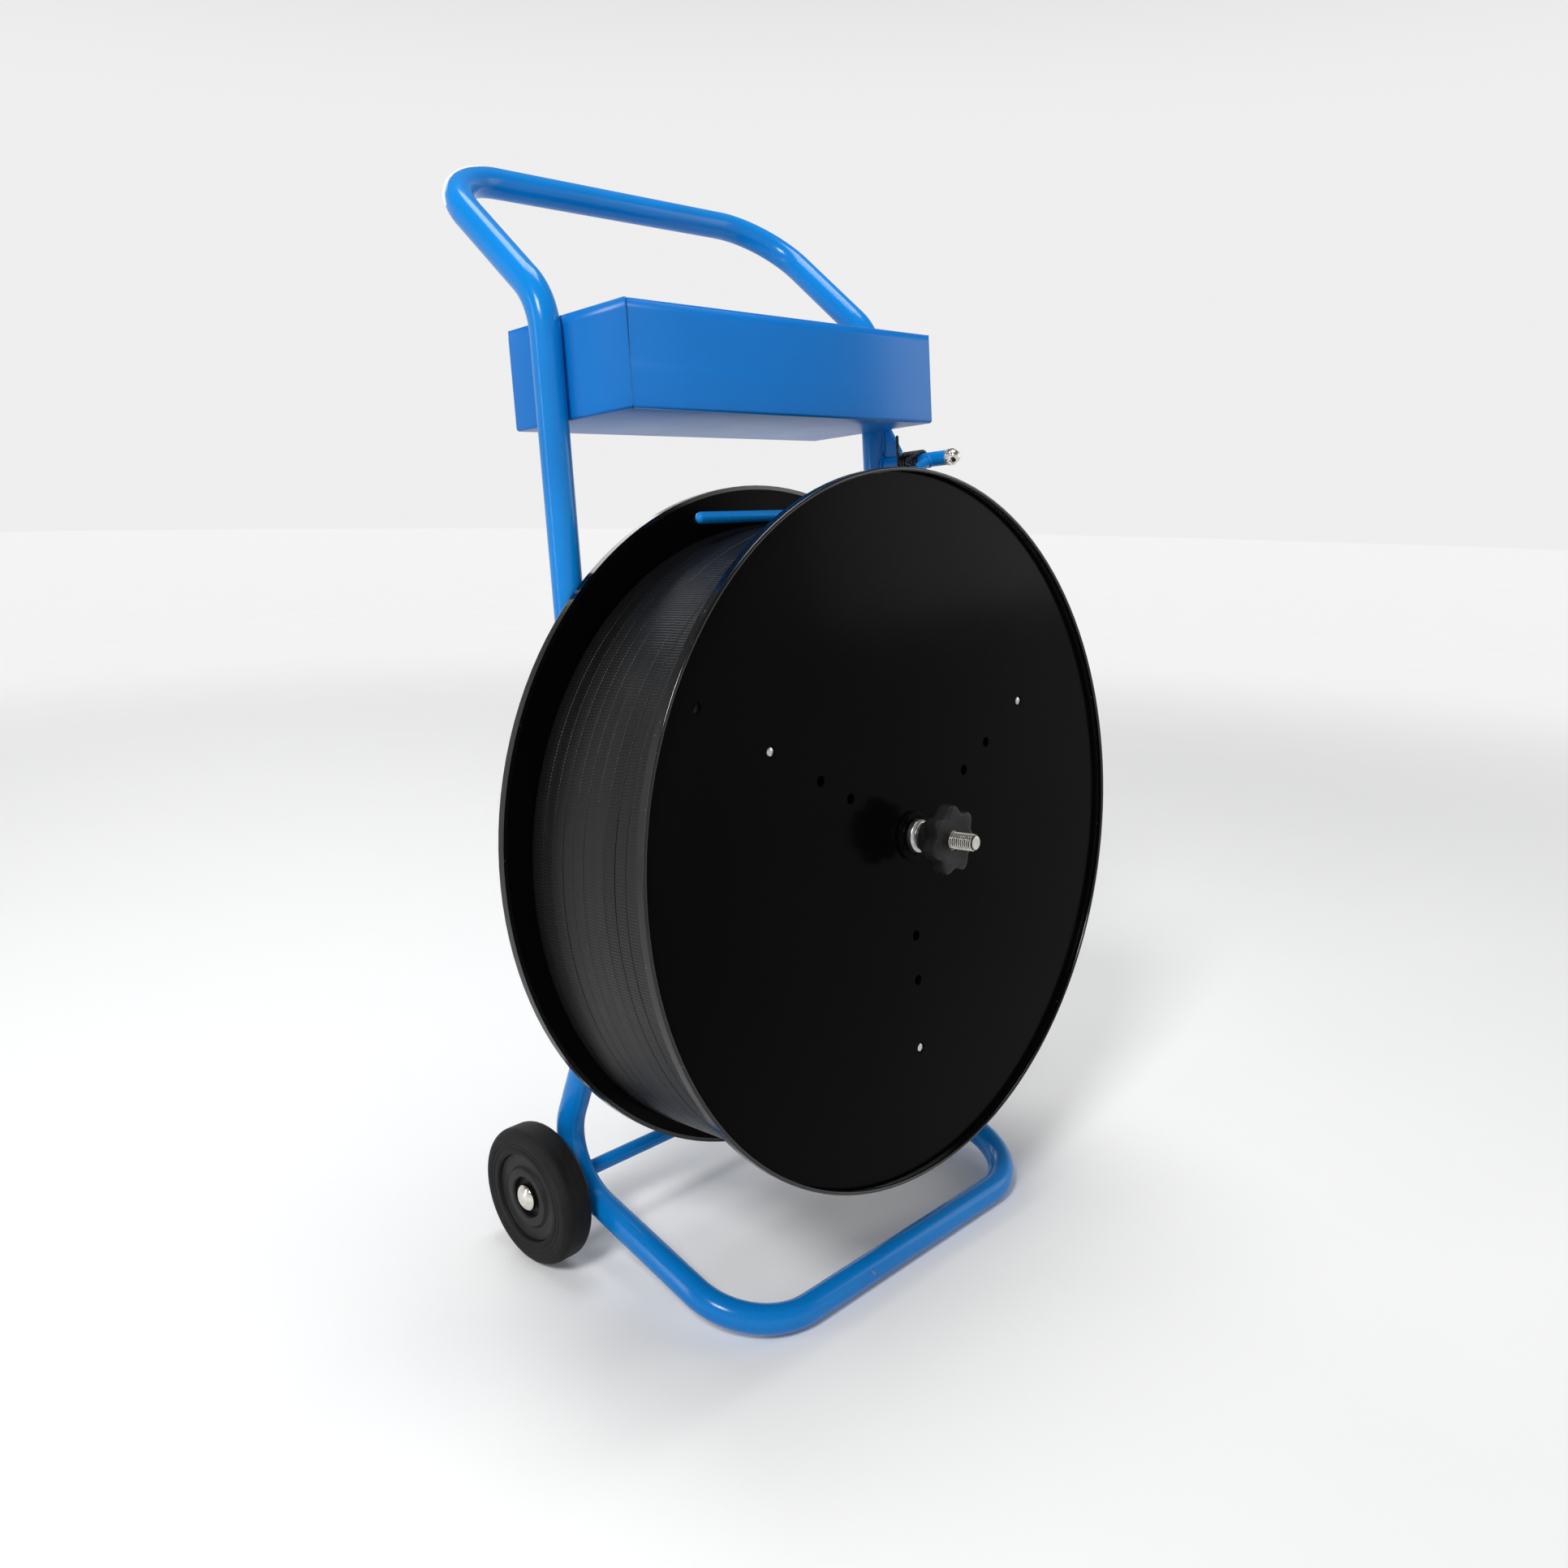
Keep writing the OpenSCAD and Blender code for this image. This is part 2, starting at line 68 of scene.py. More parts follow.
# The reel's own frame: x across, y back along the reel axis, z up along the uprights
REEL_POS = Vector(JOINTS["reel_spin"]["pos_m"])
REEL_AXIS = Vector(JOINTS["reel_spin"]["axis"]).normalized()
REEL_UP = Vector((1, 0, 0)).cross(REEL_AXIS)
REEL = Matrix(((1, 0, 0, REEL_POS.x), (0, REEL_AXIS.y, REEL_UP.y, REEL_POS.y),
               (0, REEL_AXIS.z, REEL_UP.z, REEL_POS.z), (0, 0, 0, 1)))
COIL = REEL.copy()                    # the coil hangs a little below the reel axis
COIL.translation = Vector(JOINTS["coil_spin"]["pos_m"])
WHEEL_POS = Vector(JOINTS["right_wheel_spin"]["pos_m"])


def local_box(node, place=REEL):
    """Lowest and highest corner of a CAD node in the reel's (or another) frame, in mm."""
    inv = place.inverted()
    co = np.array([inv @ v.co for v in NODES[node].data.vertices]) / MM
    return co.min(0), co.max(0)


SKY_PALE_TO = 0.22                    # sine of the elevation up to which the wall is pale
SKY_DIM_FROM = 0.60                   # and from which it is dim
SKY_STRENGTH = 0.86
FLOOR_GLOW = 0.98                     # share of the wall's brightness that the far floor reaches
BLACK = (0.0, 0.0, 0.0)
STRAP_TOP = local_box("strap_coil", COIL)[1][0]
RIBS_PER_METRE = STRAP_RIBS / (TAU * STRAP_TOP * MM)


# ---------------------------------------------------------------- camera

CAMERA_AT = (-0.83915, -0.79726, 0.69263)
CAMERA_RIGHT = (0.70868, -0.70545, 0.01011)
CAMERA_FORWARD = (0.68509, 0.68466, -0.24879)
CAMERA_LENS = 29.67
CAMERA_SHIFT = (0.0277, 0.00985)


def make_camera():
    """The photograph's camera, fitted together with the object's size."""
    data = bpy.data.cameras.new("camera")
    cam = bpy.data.objects.new("camera", data)
    bpy.context.scene.collection.objects.link(cam)
    right = Vector(CAMERA_RIGHT).normalized()
    forward = Vector(CAMERA_FORWARD).normalized()
    up = right.cross(forward).normalized()
    rot = Matrix((right, up, -forward)).transposed()
    cam.matrix_world = Matrix.Translation(CAMERA_AT) @ rot.to_4x4()
    data.sensor_width = 36
    data.lens = CAMERA_LENS
    data.shift_x, data.shift_y = CAMERA_SHIFT
    data.clip_start = 0.01
    data.clip_end = 60
    bpy.context.scene.camera = cam


make_camera()


# ---------------------------------------------------------------- materials

class Paint:
    """A node material under construction."""

    def __init__(self, name):
        self.mat = bpy.data.materials.new(name)
        self.mat.use_nodes = True
        self.tree = self.mat.node_tree
        self.bsdf = self.tree.nodes["Principled BSDF"]

    def node(self, kind, **props):
        n = self.tree.nodes.new(kind)
        for k, v in props.items():
            setattr(n, k, v)
        return n

    def link(self, a, b):
        self.tree.links.new(a, b)

    def put(self, socket, value):
        """Feeds a socket from another node's output, or sets its value."""
        if hasattr(value, "is_output"):
            self.link(value, socket)
        else:
            socket.default_value = value

    def coords(self, kind="Object", scale=(1, 1, 1), offset=(0, 0, 0)):
        """Texture coordinates, scaled and shifted."""
        tc = self.node("ShaderNodeTexCoord")
        mp = self.node("ShaderNodeMapping")
        mp.inputs["Scale"].default_value = scale
        mp.inputs["Location"].default_value = offset
        self.link(tc.outputs[kind], mp.inputs["Vector"])
        return mp.outputs["Vector"]

    def noise(self, vec, scale, detail=3.0, rough=0.5, warp=0.0):
        n = self.node("ShaderNodeTexNoise")
        self.link(vec, n.inputs["Vector"])
        n.inputs["Scale"].default_value = scale
        n.inputs["Detail"].default_value = detail
        n.inputs["Roughness"].default_value = rough
        n.inputs["Distortion"].default_value = warp
        return n.outputs["Fac"]

    def ramp(self, fac, stops):
        """Grey or colour ramp through (position, grey or colour) stops."""
        r = self.node("ShaderNodeValToRGB")
        els = r.color_ramp.elements
        while len(els) < len(stops):
            els.new(0.5)
        for e, (p, c) in zip(els, stops):
            e.position = p
            e.color = (c, c, c, 1) if isinstance(c, (int, float)) else (*c, 1)
        self.link(fac, r.inputs["Fac"])
        return r.outputs["Color"]

    def mix(self, fac, a, b):
        m = self.node("ShaderNodeMix", data_type="RGBA")
        self.put(m.inputs[0], fac)
        for sock, v in ((m.inputs[6], a), (m.inputs[7], b)):
            self.put(sock, v if hasattr(v, "is_output") else (*v, 1))
        return m.outputs[2]

    def maths(self, op, a, b=0.0, c=0.0):
        m = self.node("ShaderNodeMath", operation=op)
        for sock, v in zip(m.inputs, (a, b, c)):
            self.put(sock, v)
        return m.outputs[0]

    def span(self, fac, low, high):
        """Maps 0 to 1 onto low to high."""
        m = self.node("ShaderNodeMapRange")
        self.link(fac, m.inputs["Value"])
        m.inputs["To Min"].default_value = low
        m.inputs["To Max"].default_value = high
        return m.outputs["Result"]

    def bump(self, height, distance, strength=1.0, after=None):
        b = self.node("ShaderNodeBump")
        b.inputs["Distance"].default_value = distance
        b.inputs["Strength"].default_value = strength
        self.link(height, b.inputs["Height"])
        if after is not None:
            self.link(after, b.inputs["Normal"])
        return b.outputs["Normal"]

    def finish(self, color, rough, normal=None, metallic=0.0, specular=0.5):
        """Sets the surface and returns the material."""
        self.put(self.bsdf.inputs["Base Color"], color)
        self.put(self.bsdf.inputs["Roughness"], rough)
        self.put(self.bsdf.inputs["Metallic"], metallic)
        self.bsdf.inputs["Specular IOR Level"].default_value = specular
        if normal is not None:
            self.link(normal, self.bsdf.inputs["Normal"])
        return self.mat


def blue_powder(name, deep, bright, chip_level=0.79, smooth=0.13):
    """Gloss powder coat: orange peel, drifting shade, a few chips down to grey primer."""
    p = Paint(name)
    v = p.coords()
    shade = p.noise(v, 7, 2, 0.5)
    grain = p.noise(v, 420, 1, 0.5)
    base = p.mix(p.ramp(shade, [(0.3, 0.0), (0.7, 1.0)]), deep, bright)
    glint = tuple(1.15 * c for c in bright)
    base = p.mix(p.ramp(grain, [(0.35, 0.0), (0.75, 0.16)]), base, glint)
    chips = p.noise(v, 95, 5, 0.62, 0.4)
    sparse = p.noise(p.coords(offset=(3.1, 1.7, 0.4)), 9, 2, 0.5)
    mask = p.ramp(p.maths("MULTIPLY", chips, p.ramp(sparse, [(0.46, 0.6), (0.6, 1.12)])),
                  [(chip_level, 0.0), (chip_level + 0.012, 1.0)])
    base = p.mix(mask, base, (0.17, 0.19, 0.21))
    dust = p.noise(p.coords(scale=(1, 1, 0.25)), 14, 1, 0.5)
    rough = p.span(dust, smooth, smooth + 0.1)
    rough = p.mix(mask, rough, (0.6, 0.6, 0.6))
    peel = p.noise(v, 150, 1.0, 0.4)
    n = p.bump(peel, 0.00003, 0.25)
    n = p.bump(p.maths("SUBTRACT", 1.0, mask), 0.0002, 0.6, n)
    return p.finish(base, rough, n, specular=0.22)


def black_enamel(name, centre, rim):
    """Gloss black stove enamel, faintly wavy, with wiping marks and a worn rolled rim."""
    p = Paint(name)
    v = p.coords()
    cloud = p.noise(v, 5, 3, 0.55, 0.3)
    base = p.mix(cloud, (0.0008, 0.0008, 0.001), (0.0024, 0.0024, 0.0026))
    rel, radius = distance_from_axis(p, v, centre, REEL_AXIS)
    edge = p.maths("GREATER_THAN", radius, rim - 0.0016)
    chips = p.ramp(p.noise(v, 170, 4, 0.65), [(0.66, 0.0), (0.70, 1.0)])
    worn = p.maths("MULTIPLY", edge, chips)
    base = p.mix(worn, base, (0.055, 0.055, 0.058))
    scratch = p.node("ShaderNodeTexWave", wave_type="RINGS", rings_direction="SPHERICAL")
    p.link(rel, scratch.inputs["Vector"])
    scratch.inputs["Scale"].default_value = 38
    scratch.inputs["Distortion"].default_value = 6
    scratch.inputs["Detail"].default_value = 4
    scratch.inputs["Detail Scale"].default_value = 3
    wipe = p.ramp(scratch.outputs["Fac"], [(0.86, 0.0), (1.0, 1.0)])
    haze = p.noise(p.coords(scale=(1, 1, 0.4)), 9, 5, 0.6, 0.8)
    rough = p.maths("ADD", p.span(haze, 0.09, 0.2), p.maths("MULTIPLY", wipe, 0.04))
    n = p.bump(p.noise(v, 9, 1, 0.4), 0.0009, 0.3)
    mat = p.finish(base, rough, n)
    lip = p.maths("GREATER_THAN", radius, rim - 0.0035)
    p.link(p.span(lip, 0.02, 0.42), p.bsdf.inputs["Specular IOR Level"])
    return mat


def distance_from_axis(p, v, centre, axis):
    """Distance of a point from the line through centre along axis, as a node output."""
    rel = p.node("ShaderNodeVectorMath", operation="SUBTRACT")
    p.link(v, rel.inputs[0])
    rel.inputs[1].default_value = centre
    cross = p.node("ShaderNodeVectorMath", operation="CROSS_PRODUCT")
    p.link(rel.outputs[0], cross.inputs[0])
    cross.inputs[1].default_value = axis
    length = p.node("ShaderNodeVectorMath", operation="LENGTH")
    p.link(cross.outputs[0], length.inputs[0])
    return rel.outputs[0], length.outputs["Value"]


def zinc_plate(name, light=(0.62, 0.62, 0.60), dark=(0.36, 0.36, 0.35), low=0.2, high=0.42,
               root=0.0):
    """Bright plate: cloudy spangle, dulled patches, painted shade darkening a thread's roots below
    radius `root`.
    """
    p = Paint(name)
    v = p.coords()
    cloud = p.noise(v, 160, 4, 0.6)
    cell = p.node("ShaderNodeTexVoronoi")
    p.link(v, cell.inputs["Vector"])
    cell.inputs["Scale"].default_value = 420
    base = p.mix(p.ramp(cloud, [(0.3, 0.0), (0.7, 1.0)]), dark, light)
    base = p.mix(p.maths("MULTIPLY", cell.outputs["Color"], 0.25), base, light)
    if root:
        # painted shade: below radius `root` the base colour goes nearly black in the thread's roots
        radius = distance_from_axis(p, v, REEL_POS, REEL_AXIS)[1]
        painted_root_shade = p.node("ShaderNodeMapRange")
        p.link(radius, painted_root_shade.inputs["Value"])
        painted_root_shade.inputs["From Min"].default_value = root - 0.0008
        painted_root_shade.inputs["From Max"].default_value = root
        painted_root_shade.inputs["To Min"].default_value = 0.96
        painted_root_shade.inputs["To Max"].default_value = 0.0
        flank = p.maths("GREATER_THAN", radius, root - 0.0013)
        base = p.mix(p.maths("MULTIPLY", painted_root_shade.outputs["Result"], flank), base,
                     (0.012, 0.012, 0.011))
    rough = p.span(p.noise(v, 90, 5, 0.65), low, high)
    n = p.bump(p.noise(v, 1400, 2, 0.5), 0.00006, 0.5)
    return p.finish(base, rough, n, metallic=1.0)


def strap_plastic(name):
    """Embossed black polypropylene strap: satin, lengthwise scuffs, shade changing band to band,
    painted shade in the rib valleys.
    """
    p = Paint(name)
    v = p.coords()
    uv = p.coords("UV")
    run = p.coords("UV", scale=(3.0, 420.0, 1.0))
    streak = p.noise(run, 1.0, 4, 0.6)
    band = p.noise(p.coords("UV", scale=(0.35, 6.0, 1.0)), 3.0, 2, 0.5)
    base = p.mix(p.ramp(band, [(0.3, 0.0), (0.7, 1.0)]),
                 (0.004, 0.004, 0.0043), (0.009, 0.009, 0.0095))
    base = p.mix(p.ramp(streak, [(0.5, 0.0), (0.8, 0.4)]), base, (0.03, 0.03, 0.03))
    # painted shade: the base colour darkens towards black in the valleys between the embossed ribs
    split = p.node("ShaderNodeSeparateXYZ")
    p.link(uv, split.inputs[0])
    rib = p.maths("FRACT", p.maths("MULTIPLY", split.outputs["X"], RIBS_PER_METRE))
    painted_rib_shade = p.ramp(p.maths("ABSOLUTE", p.maths("SUBTRACT", rib, 0.5)),
                    [(0.30, 0.0), (0.47, 0.85)])
    base = p.mix(painted_rib_shade, base, (0.0015, 0.0015, 0.0016))
    rough = p.span(p.noise(v, 60, 4, 0.6), 0.27, 0.42)
    n = p.bump(p.noise(v, 2200, 2, 0.5), 0.00003, 0.4)
    return p.finish(base, rough, n, specular=0.22)


def moulding(name, deep, pale, low, high, grain=1500, specular=0.45):
    """Moulded plastic: fine etched grain, handling sheen, faint paler tone in random patches."""
    p = Paint(name)
    v = p.coords()
    base = p.mix(p.ramp(p.noise(v, 40, 4, 0.6), [(0.35, 0.0), (0.75, 1.0)]), deep, pale)
    rough = p.span(p.noise(v, 55, 3, 0.5), low, high)
    n = p.bump(p.noise(v, grain, 2, 0.6), 0.00006, 0.7)
    return p.finish(base, rough, n, specular=specular)


def rubber(name):
    """Solid rubber: dull black, ground-in dust, fine rolling lines round the tread."""
    p = Paint(name)
    v = p.coords()
    lines = p.noise(p.coords("UV", scale=(6.0, 900.0, 1.0)), 1.0, 3, 0.6)
    dust = p.noise(v, 28, 5, 0.62, 0.3)
    base = p.mix(p.ramp(dust, [(0.35, 0.0), (0.8, 1.0)]),
                 (0.004, 0.004, 0.004), (0.011, 0.0108, 0.0105))
    base = p.mix(p.ramp(lines, [(0.5, 0.0), (0.75, 0.5)]), base, (0.026, 0.0255, 0.024))
    rough = p.span(p.noise(v, 45, 4, 0.6), 0.52, 0.78)
    n = p.bump(lines, 0.00022, 0.6)
    n = p.bump(p.noise(v, 900, 2, 0.6), 0.00007, 0.6, n)
    return p.finish(base, rough, n, specular=0.16)


def board(name):
    """Wound grey-brown coreboard with fibres along the wind."""
    p = Paint(name)
    v = p.coords()
    fibre = p.noise(p.coords(scale=(1, 9, 1)), 120, 5, 0.7)
    base = p.mix(fibre, (0.20, 0.13, 0.07), (0.42, 0.30, 0.18))
    n = p.bump(fibre, 0.0003, 0.6)
    return p.finish(base, p.span(p.noise(v, 40), 0.75, 0.95), n, specular=0.2)


def floor_paint(name):
    """Pale floor paint with faint clouds, growing evenly bright towards the far wall."""
    p = Paint(name)
    v = p.coords()
    base = p.mix(p.noise(v, 2.2, 4, 0.6), (0.80, 0.805, 0.81), (0.84, 0.84, 0.84))
    split = p.node("ShaderNodeSeparateXYZ")
    p.link(v, split.inputs[0])
    squares = [p.maths("MULTIPLY", split.outputs[k], split.outputs[k]) for k in ("X", "Y")]
    away = p.maths("SQRT", p.maths("ADD", *squares))
    far = p.node("ShaderNodeMapRange", interpolation_type="SMOOTHSTEP")
    p.link(away, far.inputs["Value"])
    far.inputs["From Min"].default_value = 0.9
    far.inputs["From Max"].default_value = 4.0
    far.inputs["To Max"].default_value = FLOOR_GLOW
    p.bsdf.inputs["Emission Color"].default_value = (1.0, 1.0, 1.0, 1)
    p.link(p.maths("MULTIPLY", far.outputs["Result"], SKY_STRENGTH),
           p.bsdf.inputs["Emission Strength"])
    base = p.mix(far.outputs["Result"], base, BLACK)
    n = p.bump(p.noise(v, 60, 4, 0.6), 0.0004, 0.2)
    return p.finish(base, p.span(p.noise(v, 6, 4), 0.55, 0.7), n, specular=0.2)


MATS = {
    "blue_tube": blue_powder("blue_tube", (0.002, 0.150, 0.46), (0.003, 0.190, 0.56)),
    "blue_sheet": blue_powder("blue_sheet", (0.001, 0.125, 0.42), (0.0015, 0.140, 0.47),
                              0.81, 0.26),
    "enamel": black_enamel("enamel", REEL_POS, 0.3),
    "zinc": zinc_plate("zinc"),
    "thread": zinc_plate("thread", (0.66, 0.65, 0.60), (0.46, 0.45, 0.42), 0.2, 0.36,
                         root=0.0067),
    "nickel": zinc_plate("nickel", (0.78, 0.75, 0.69), (0.60, 0.57, 0.52), 0.08, 0.2),
    "spring": zinc_plate("spring", (0.045, 0.045, 0.05), (0.015, 0.015, 0.017), 0.28, 0.45),
    "brass": zinc_plate("brass", (0.72, 0.55, 0.25), (0.42, 0.31, 0.13), 0.22, 0.4),
    "strap": strap_plastic("strap"),
    "knob": moulding("knob", (0.005, 0.005, 0.005), (0.012, 0.012, 0.012), 0.42, 0.6,
                     specular=0.2),
    "rim": moulding("rim", (0.005, 0.005, 0.005), (0.013, 0.013, 0.0125), 0.34, 0.52,
                    1100, 0.2),
    "acetal": moulding("acetal", (0.55, 0.53, 0.46), (0.66, 0.64, 0.57), 0.35, 0.5, 800),
    "rubber": rubber("rubber"),
    "board": board("board"),
    "floor": floor_paint("floor"),
}


# ---------------------------------------------------------------- mesh tools

def piece(name, verts, faces, mat, body, slot=None, stands_for=(), place=REEL, uvs=None,
          sharp=32.0, solid=None):
    """A mesh piece from points in mm in the frame `place`, riding on a CAD body."""
    me = bpy.data.meshes.new(name)
    pts = np.asarray(verts, float) * MM
    pts = pts @ np.array(place.to_3x3()).T + np.array(place.to_translation())
    me.from_pydata(pts.tolist(), [], faces)
    if uvs is not None:
        layer = me.uv_layers.new(name="UVMap")
        loops = np.zeros(len(me.loops), np.int32)
        me.loops.foreach_get("vertex_index", loops)
        layer.data.foreach_set("uv", np.asarray(uvs, float)[loops].ravel())
    bm = bmesh.new()
    bm.from_mesh(me)
    bmesh.ops.recalc_face_normals(bm, faces=bm.faces)
    bm.to_mesh(me)
    bm.free()
    me.shade_smooth()
    me.set_sharp_from_angle(angle=math.radians(sharp))
    me.materials.append(MATS[mat])
    o = bpy.data.objects.new(name, me)
    bpy.context.scene.collection.objects.link(o)
    if solid:
        m = o.modifiers.new("sheet", "SOLIDIFY")
        m.thickness = solid * MM
        m.offset = -1
        m.use_even_offset = True
    if body:
        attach(o, body)
    if stands_for:
        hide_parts(*stands_for)
    return o


def turned(rings, n=96, closed=True):
    """Surface of rings round local y. A ring is (radius or array of radii, y or array of y)."""
    th = np.arange(n) * TAU / n
    verts, uvs, rows = [], [], []
    run, last = 0.0, None
    for r, y in rings:
        rr = np.broadcast_to(np.asarray(r, float), (n,))
        yy = np.broadcast_to(np.asarray(y, float), (n,))
        mid = np.array([rr.mean(), yy.mean()])
        run += 0 if last is None else float(np.linalg.norm(mid - last))
        last = mid
        if rr.max() < 1e-6:
            rows.append([len(verts)] * n)
            verts.append((0.0, float(yy[0]), 0.0))
            uvs.append((0.0, run * MM))
            continue
        rows.append(list(range(len(verts), len(verts) + n)))
        for k in range(n):
            verts.append((rr[k] * math.cos(th[k]), yy[k], rr[k] * math.sin(th[k])))
            uvs.append((min(k, n - k) / n * TAU * mid[0] * MM, run * MM))
    faces = []
    pairs = list(zip(rows, rows[1:])) + ([(rows[-1], rows[0])] if closed else [])
    for a, b in pairs:
        for k in range(n):
            j = (k + 1) % n
            f = [a[k], a[j], b[j], b[k]]
            f = [x for i, x in enumerate(f) if x != f[i - 1]]
            if len(set(f)) >= 3:
                faces.append(f)
    return verts, faces, uvs


def filleted(corners, k=5):
    """Closed outline of (u, v, radius) corners with the corners rounded."""
    out = []
    m = len(corners)
    for i in range(m):
        u, v, r = corners[i]
        p = Vector((u, v))
        if r <= 0:
            out.append((u, v))
            continue
        a = Vector(corners[i - 1][:2]) - p
        b = Vector(corners[(i + 1) % m][:2]) - p
        ang = a.angle(b)
        cut = min(r / math.tan(ang / 2), 0.49 * a.length, 0.49 * b.length)
        pa, pb = p + a.normalized() * cut, p + b.normalized() * cut
        for s in range(k + 1):
            t = s / k
            q = (1 - t) ** 2 * pa + 2 * t * (1 - t) * p + t * t * pb
            out.append((q.x, q.y))
    return out


def unit(v):
    """v at length 1."""
    return v / v.length


def bent_path(points, radii, step=3.0):
    """Points along a polyline whose corners are arcs; step is the arc chord in mm."""
    out = [Vector(points[0])]
    for i in range(1, len(points) - 1):
        a, b, c = (Vector(points[i + j]) for j in (-1, 0, 1))
        u, w = unit(b - a), unit(c - b)
        turn = u.angle(w)
        cut = radii[i] * math.tan(turn / 2)
        start = b - u * cut
        side = unit(w - u * u.dot(w))
        mid = start + side * radii[i]
        k = max(4, int(radii[i] * turn / step))
        for s in range(k + 1):
            t = turn * s / k
            out.append(mid - side * radii[i] * math.cos(t) + u * radii[i] * math.sin(t))
    out.append(Vector(points[-1]))
    return out


def swept(path, radius, n=20, closed=False, dome=(False, False)):
    """Tube along a path. radius is a number or a function of the distance along it."""
    pts = [Vector(p) for p in path]
    m = len(pts)
    tans = []
    for i in range(m):
        a = pts[i - 1] if (closed or i > 0) else pts[i]
        b = pts[(i + 1) % m] if (closed or i < m - 1) else pts[i]
        tans.append(unit(b - a))
    ref = Vector((0, 0, 1)) if abs(tans[0].z) < 0.9 else Vector((1, 0, 0))
    nrm = unit(ref - tans[0] * ref.dot(tans[0]))
    rings, run = [], 0.0
    for i in range(m):
        if i:
            nrm = unit(nrm - tans[i] * nrm.dot(tans[i]))
            run += (pts[i] - pts[i - 1]).length
        rings.append((pts[i], tans[i], nrm.copy(), run))
    verts, uvs, rows = [], [], []

    def ring(c, t, nn, r, s):
        bi = t.cross(nn)
        rows.append(list(range(len(verts), len(verts) + n)))
        for k in range(n):
            a = TAU * k / n
            verts.append(tuple(c + (nn * math.cos(a) + bi * math.sin(a)) * r))
            uvs.append((s * MM, min(k, n - k) / n * TAU * r * MM))

    def rad(s):
        return radius(s) if callable(radius) else radius

    if not closed and dome[0]:
        c, t, nn, s = rings[0]
        for a in (80, 60, 40, 20):
            q = math.radians(a)
            ring(c + t * rad(s) * (1 - math.sin(q)), t, nn, rad(s) * math.cos(q), s)
        rings[0] = (c + t * rad(s), t, nn, s)
    tail = []
    if not closed and dome[1]:
        c, t, nn, s = rings[-1]
        rings[-1] = (c - t * rad(s), t, nn, s)
        tail = [(c - t * rad(s) * (1 - math.sin(math.radians(a))), t, nn,
                 rad(s) * math.cos(math.radians(a)), s) for a in (20, 40, 60, 80)]
    for c, t, nn, s in rings:
        ring(c, t, nn, rad(s), s)
    for args in tail:
        ring(*args)
    faces = []
    pairs = list(zip(rows, rows[1:])) + ([(rows[-1], rows[0])] if closed else [])
    for a, b in pairs:
        for k in range(n):
            j = (k + 1) % n
            faces.append([a[k], a[j], b[j], b[k]])
    if not closed:
        faces.append(rows[0][::-1])
        faces.append(rows[-1])
    return verts, faces, uvs


def joined(parts):
    """One mesh from several (verts, faces, uvs)."""
    verts, faces, uvs = [], [], []
    for v, f, u in parts:
        base = len(verts)
        verts += list(v)
        faces += [[i + base for i in q] for q in f]
        uvs += list(u)
    return verts, faces, uvs


def hexagon(af, limit, n=96):
    """Radii of a hexagon across flats af, cut back to a turned limit."""
    a = np.arange(n) * 360.0 / n
    r = af / 2 / np.cos(np.radians((a + 30) % 60 - 30))
    return np.minimum(r, limit)


def hex_body(af, y0, y1, bore, n=96):
    """Rings of a chamfered hexagon nut body between y0 and y1, open at its bore."""
    big = af / 2 / math.cos(math.radians(30)) + 0.01
    ch = 0.09 * af
    s = 1 if y1 > y0 else -1
    return [(bore, y0), (bore + 0.6, y0), (hexagon(af, af / 2 * 0.96, n), y0),
            (hexagon(af, af / 2 * 1.06, n), y0 + s * ch * 0.45), (hexagon(af, big, n), y0 + s * ch),
            (hexagon(af, big, n), y1 - s * ch), (hexagon(af, af / 2 * 1.06, n), y1 - s * ch * 0.45),
            (hexagon(af, af / 2 * 0.96, n), y1), (bore + 0.6, y1), (bore, y1)]


def weld_bead(path, radius, closed=False, seed=1):
    """A rippled weld bead along a path."""
    rnd = random.Random(seed)
    phase = rnd.random() * TAU
    fine = []
    pts = [Vector(p) for p in path]
    if closed:
        pts.append(pts[0])
    for a, b in zip(pts, pts[1:]):
        k = max(1, int((b - a).length / 0.7))
        fine += [a.lerp(b, i / k) for i in range(k)]
    if not closed:
        fine.append(pts[-1])

    def size(s):
        return radius * (0.82 + 0.16 * abs(math.sin(s * math.pi / 2.3 + phase))
                         + 0.05 * math.sin(s * 0.9 + phase))

    return swept(fine, size, 10, closed, (not closed, not closed))


# ---------------------------------------------------------------- reel

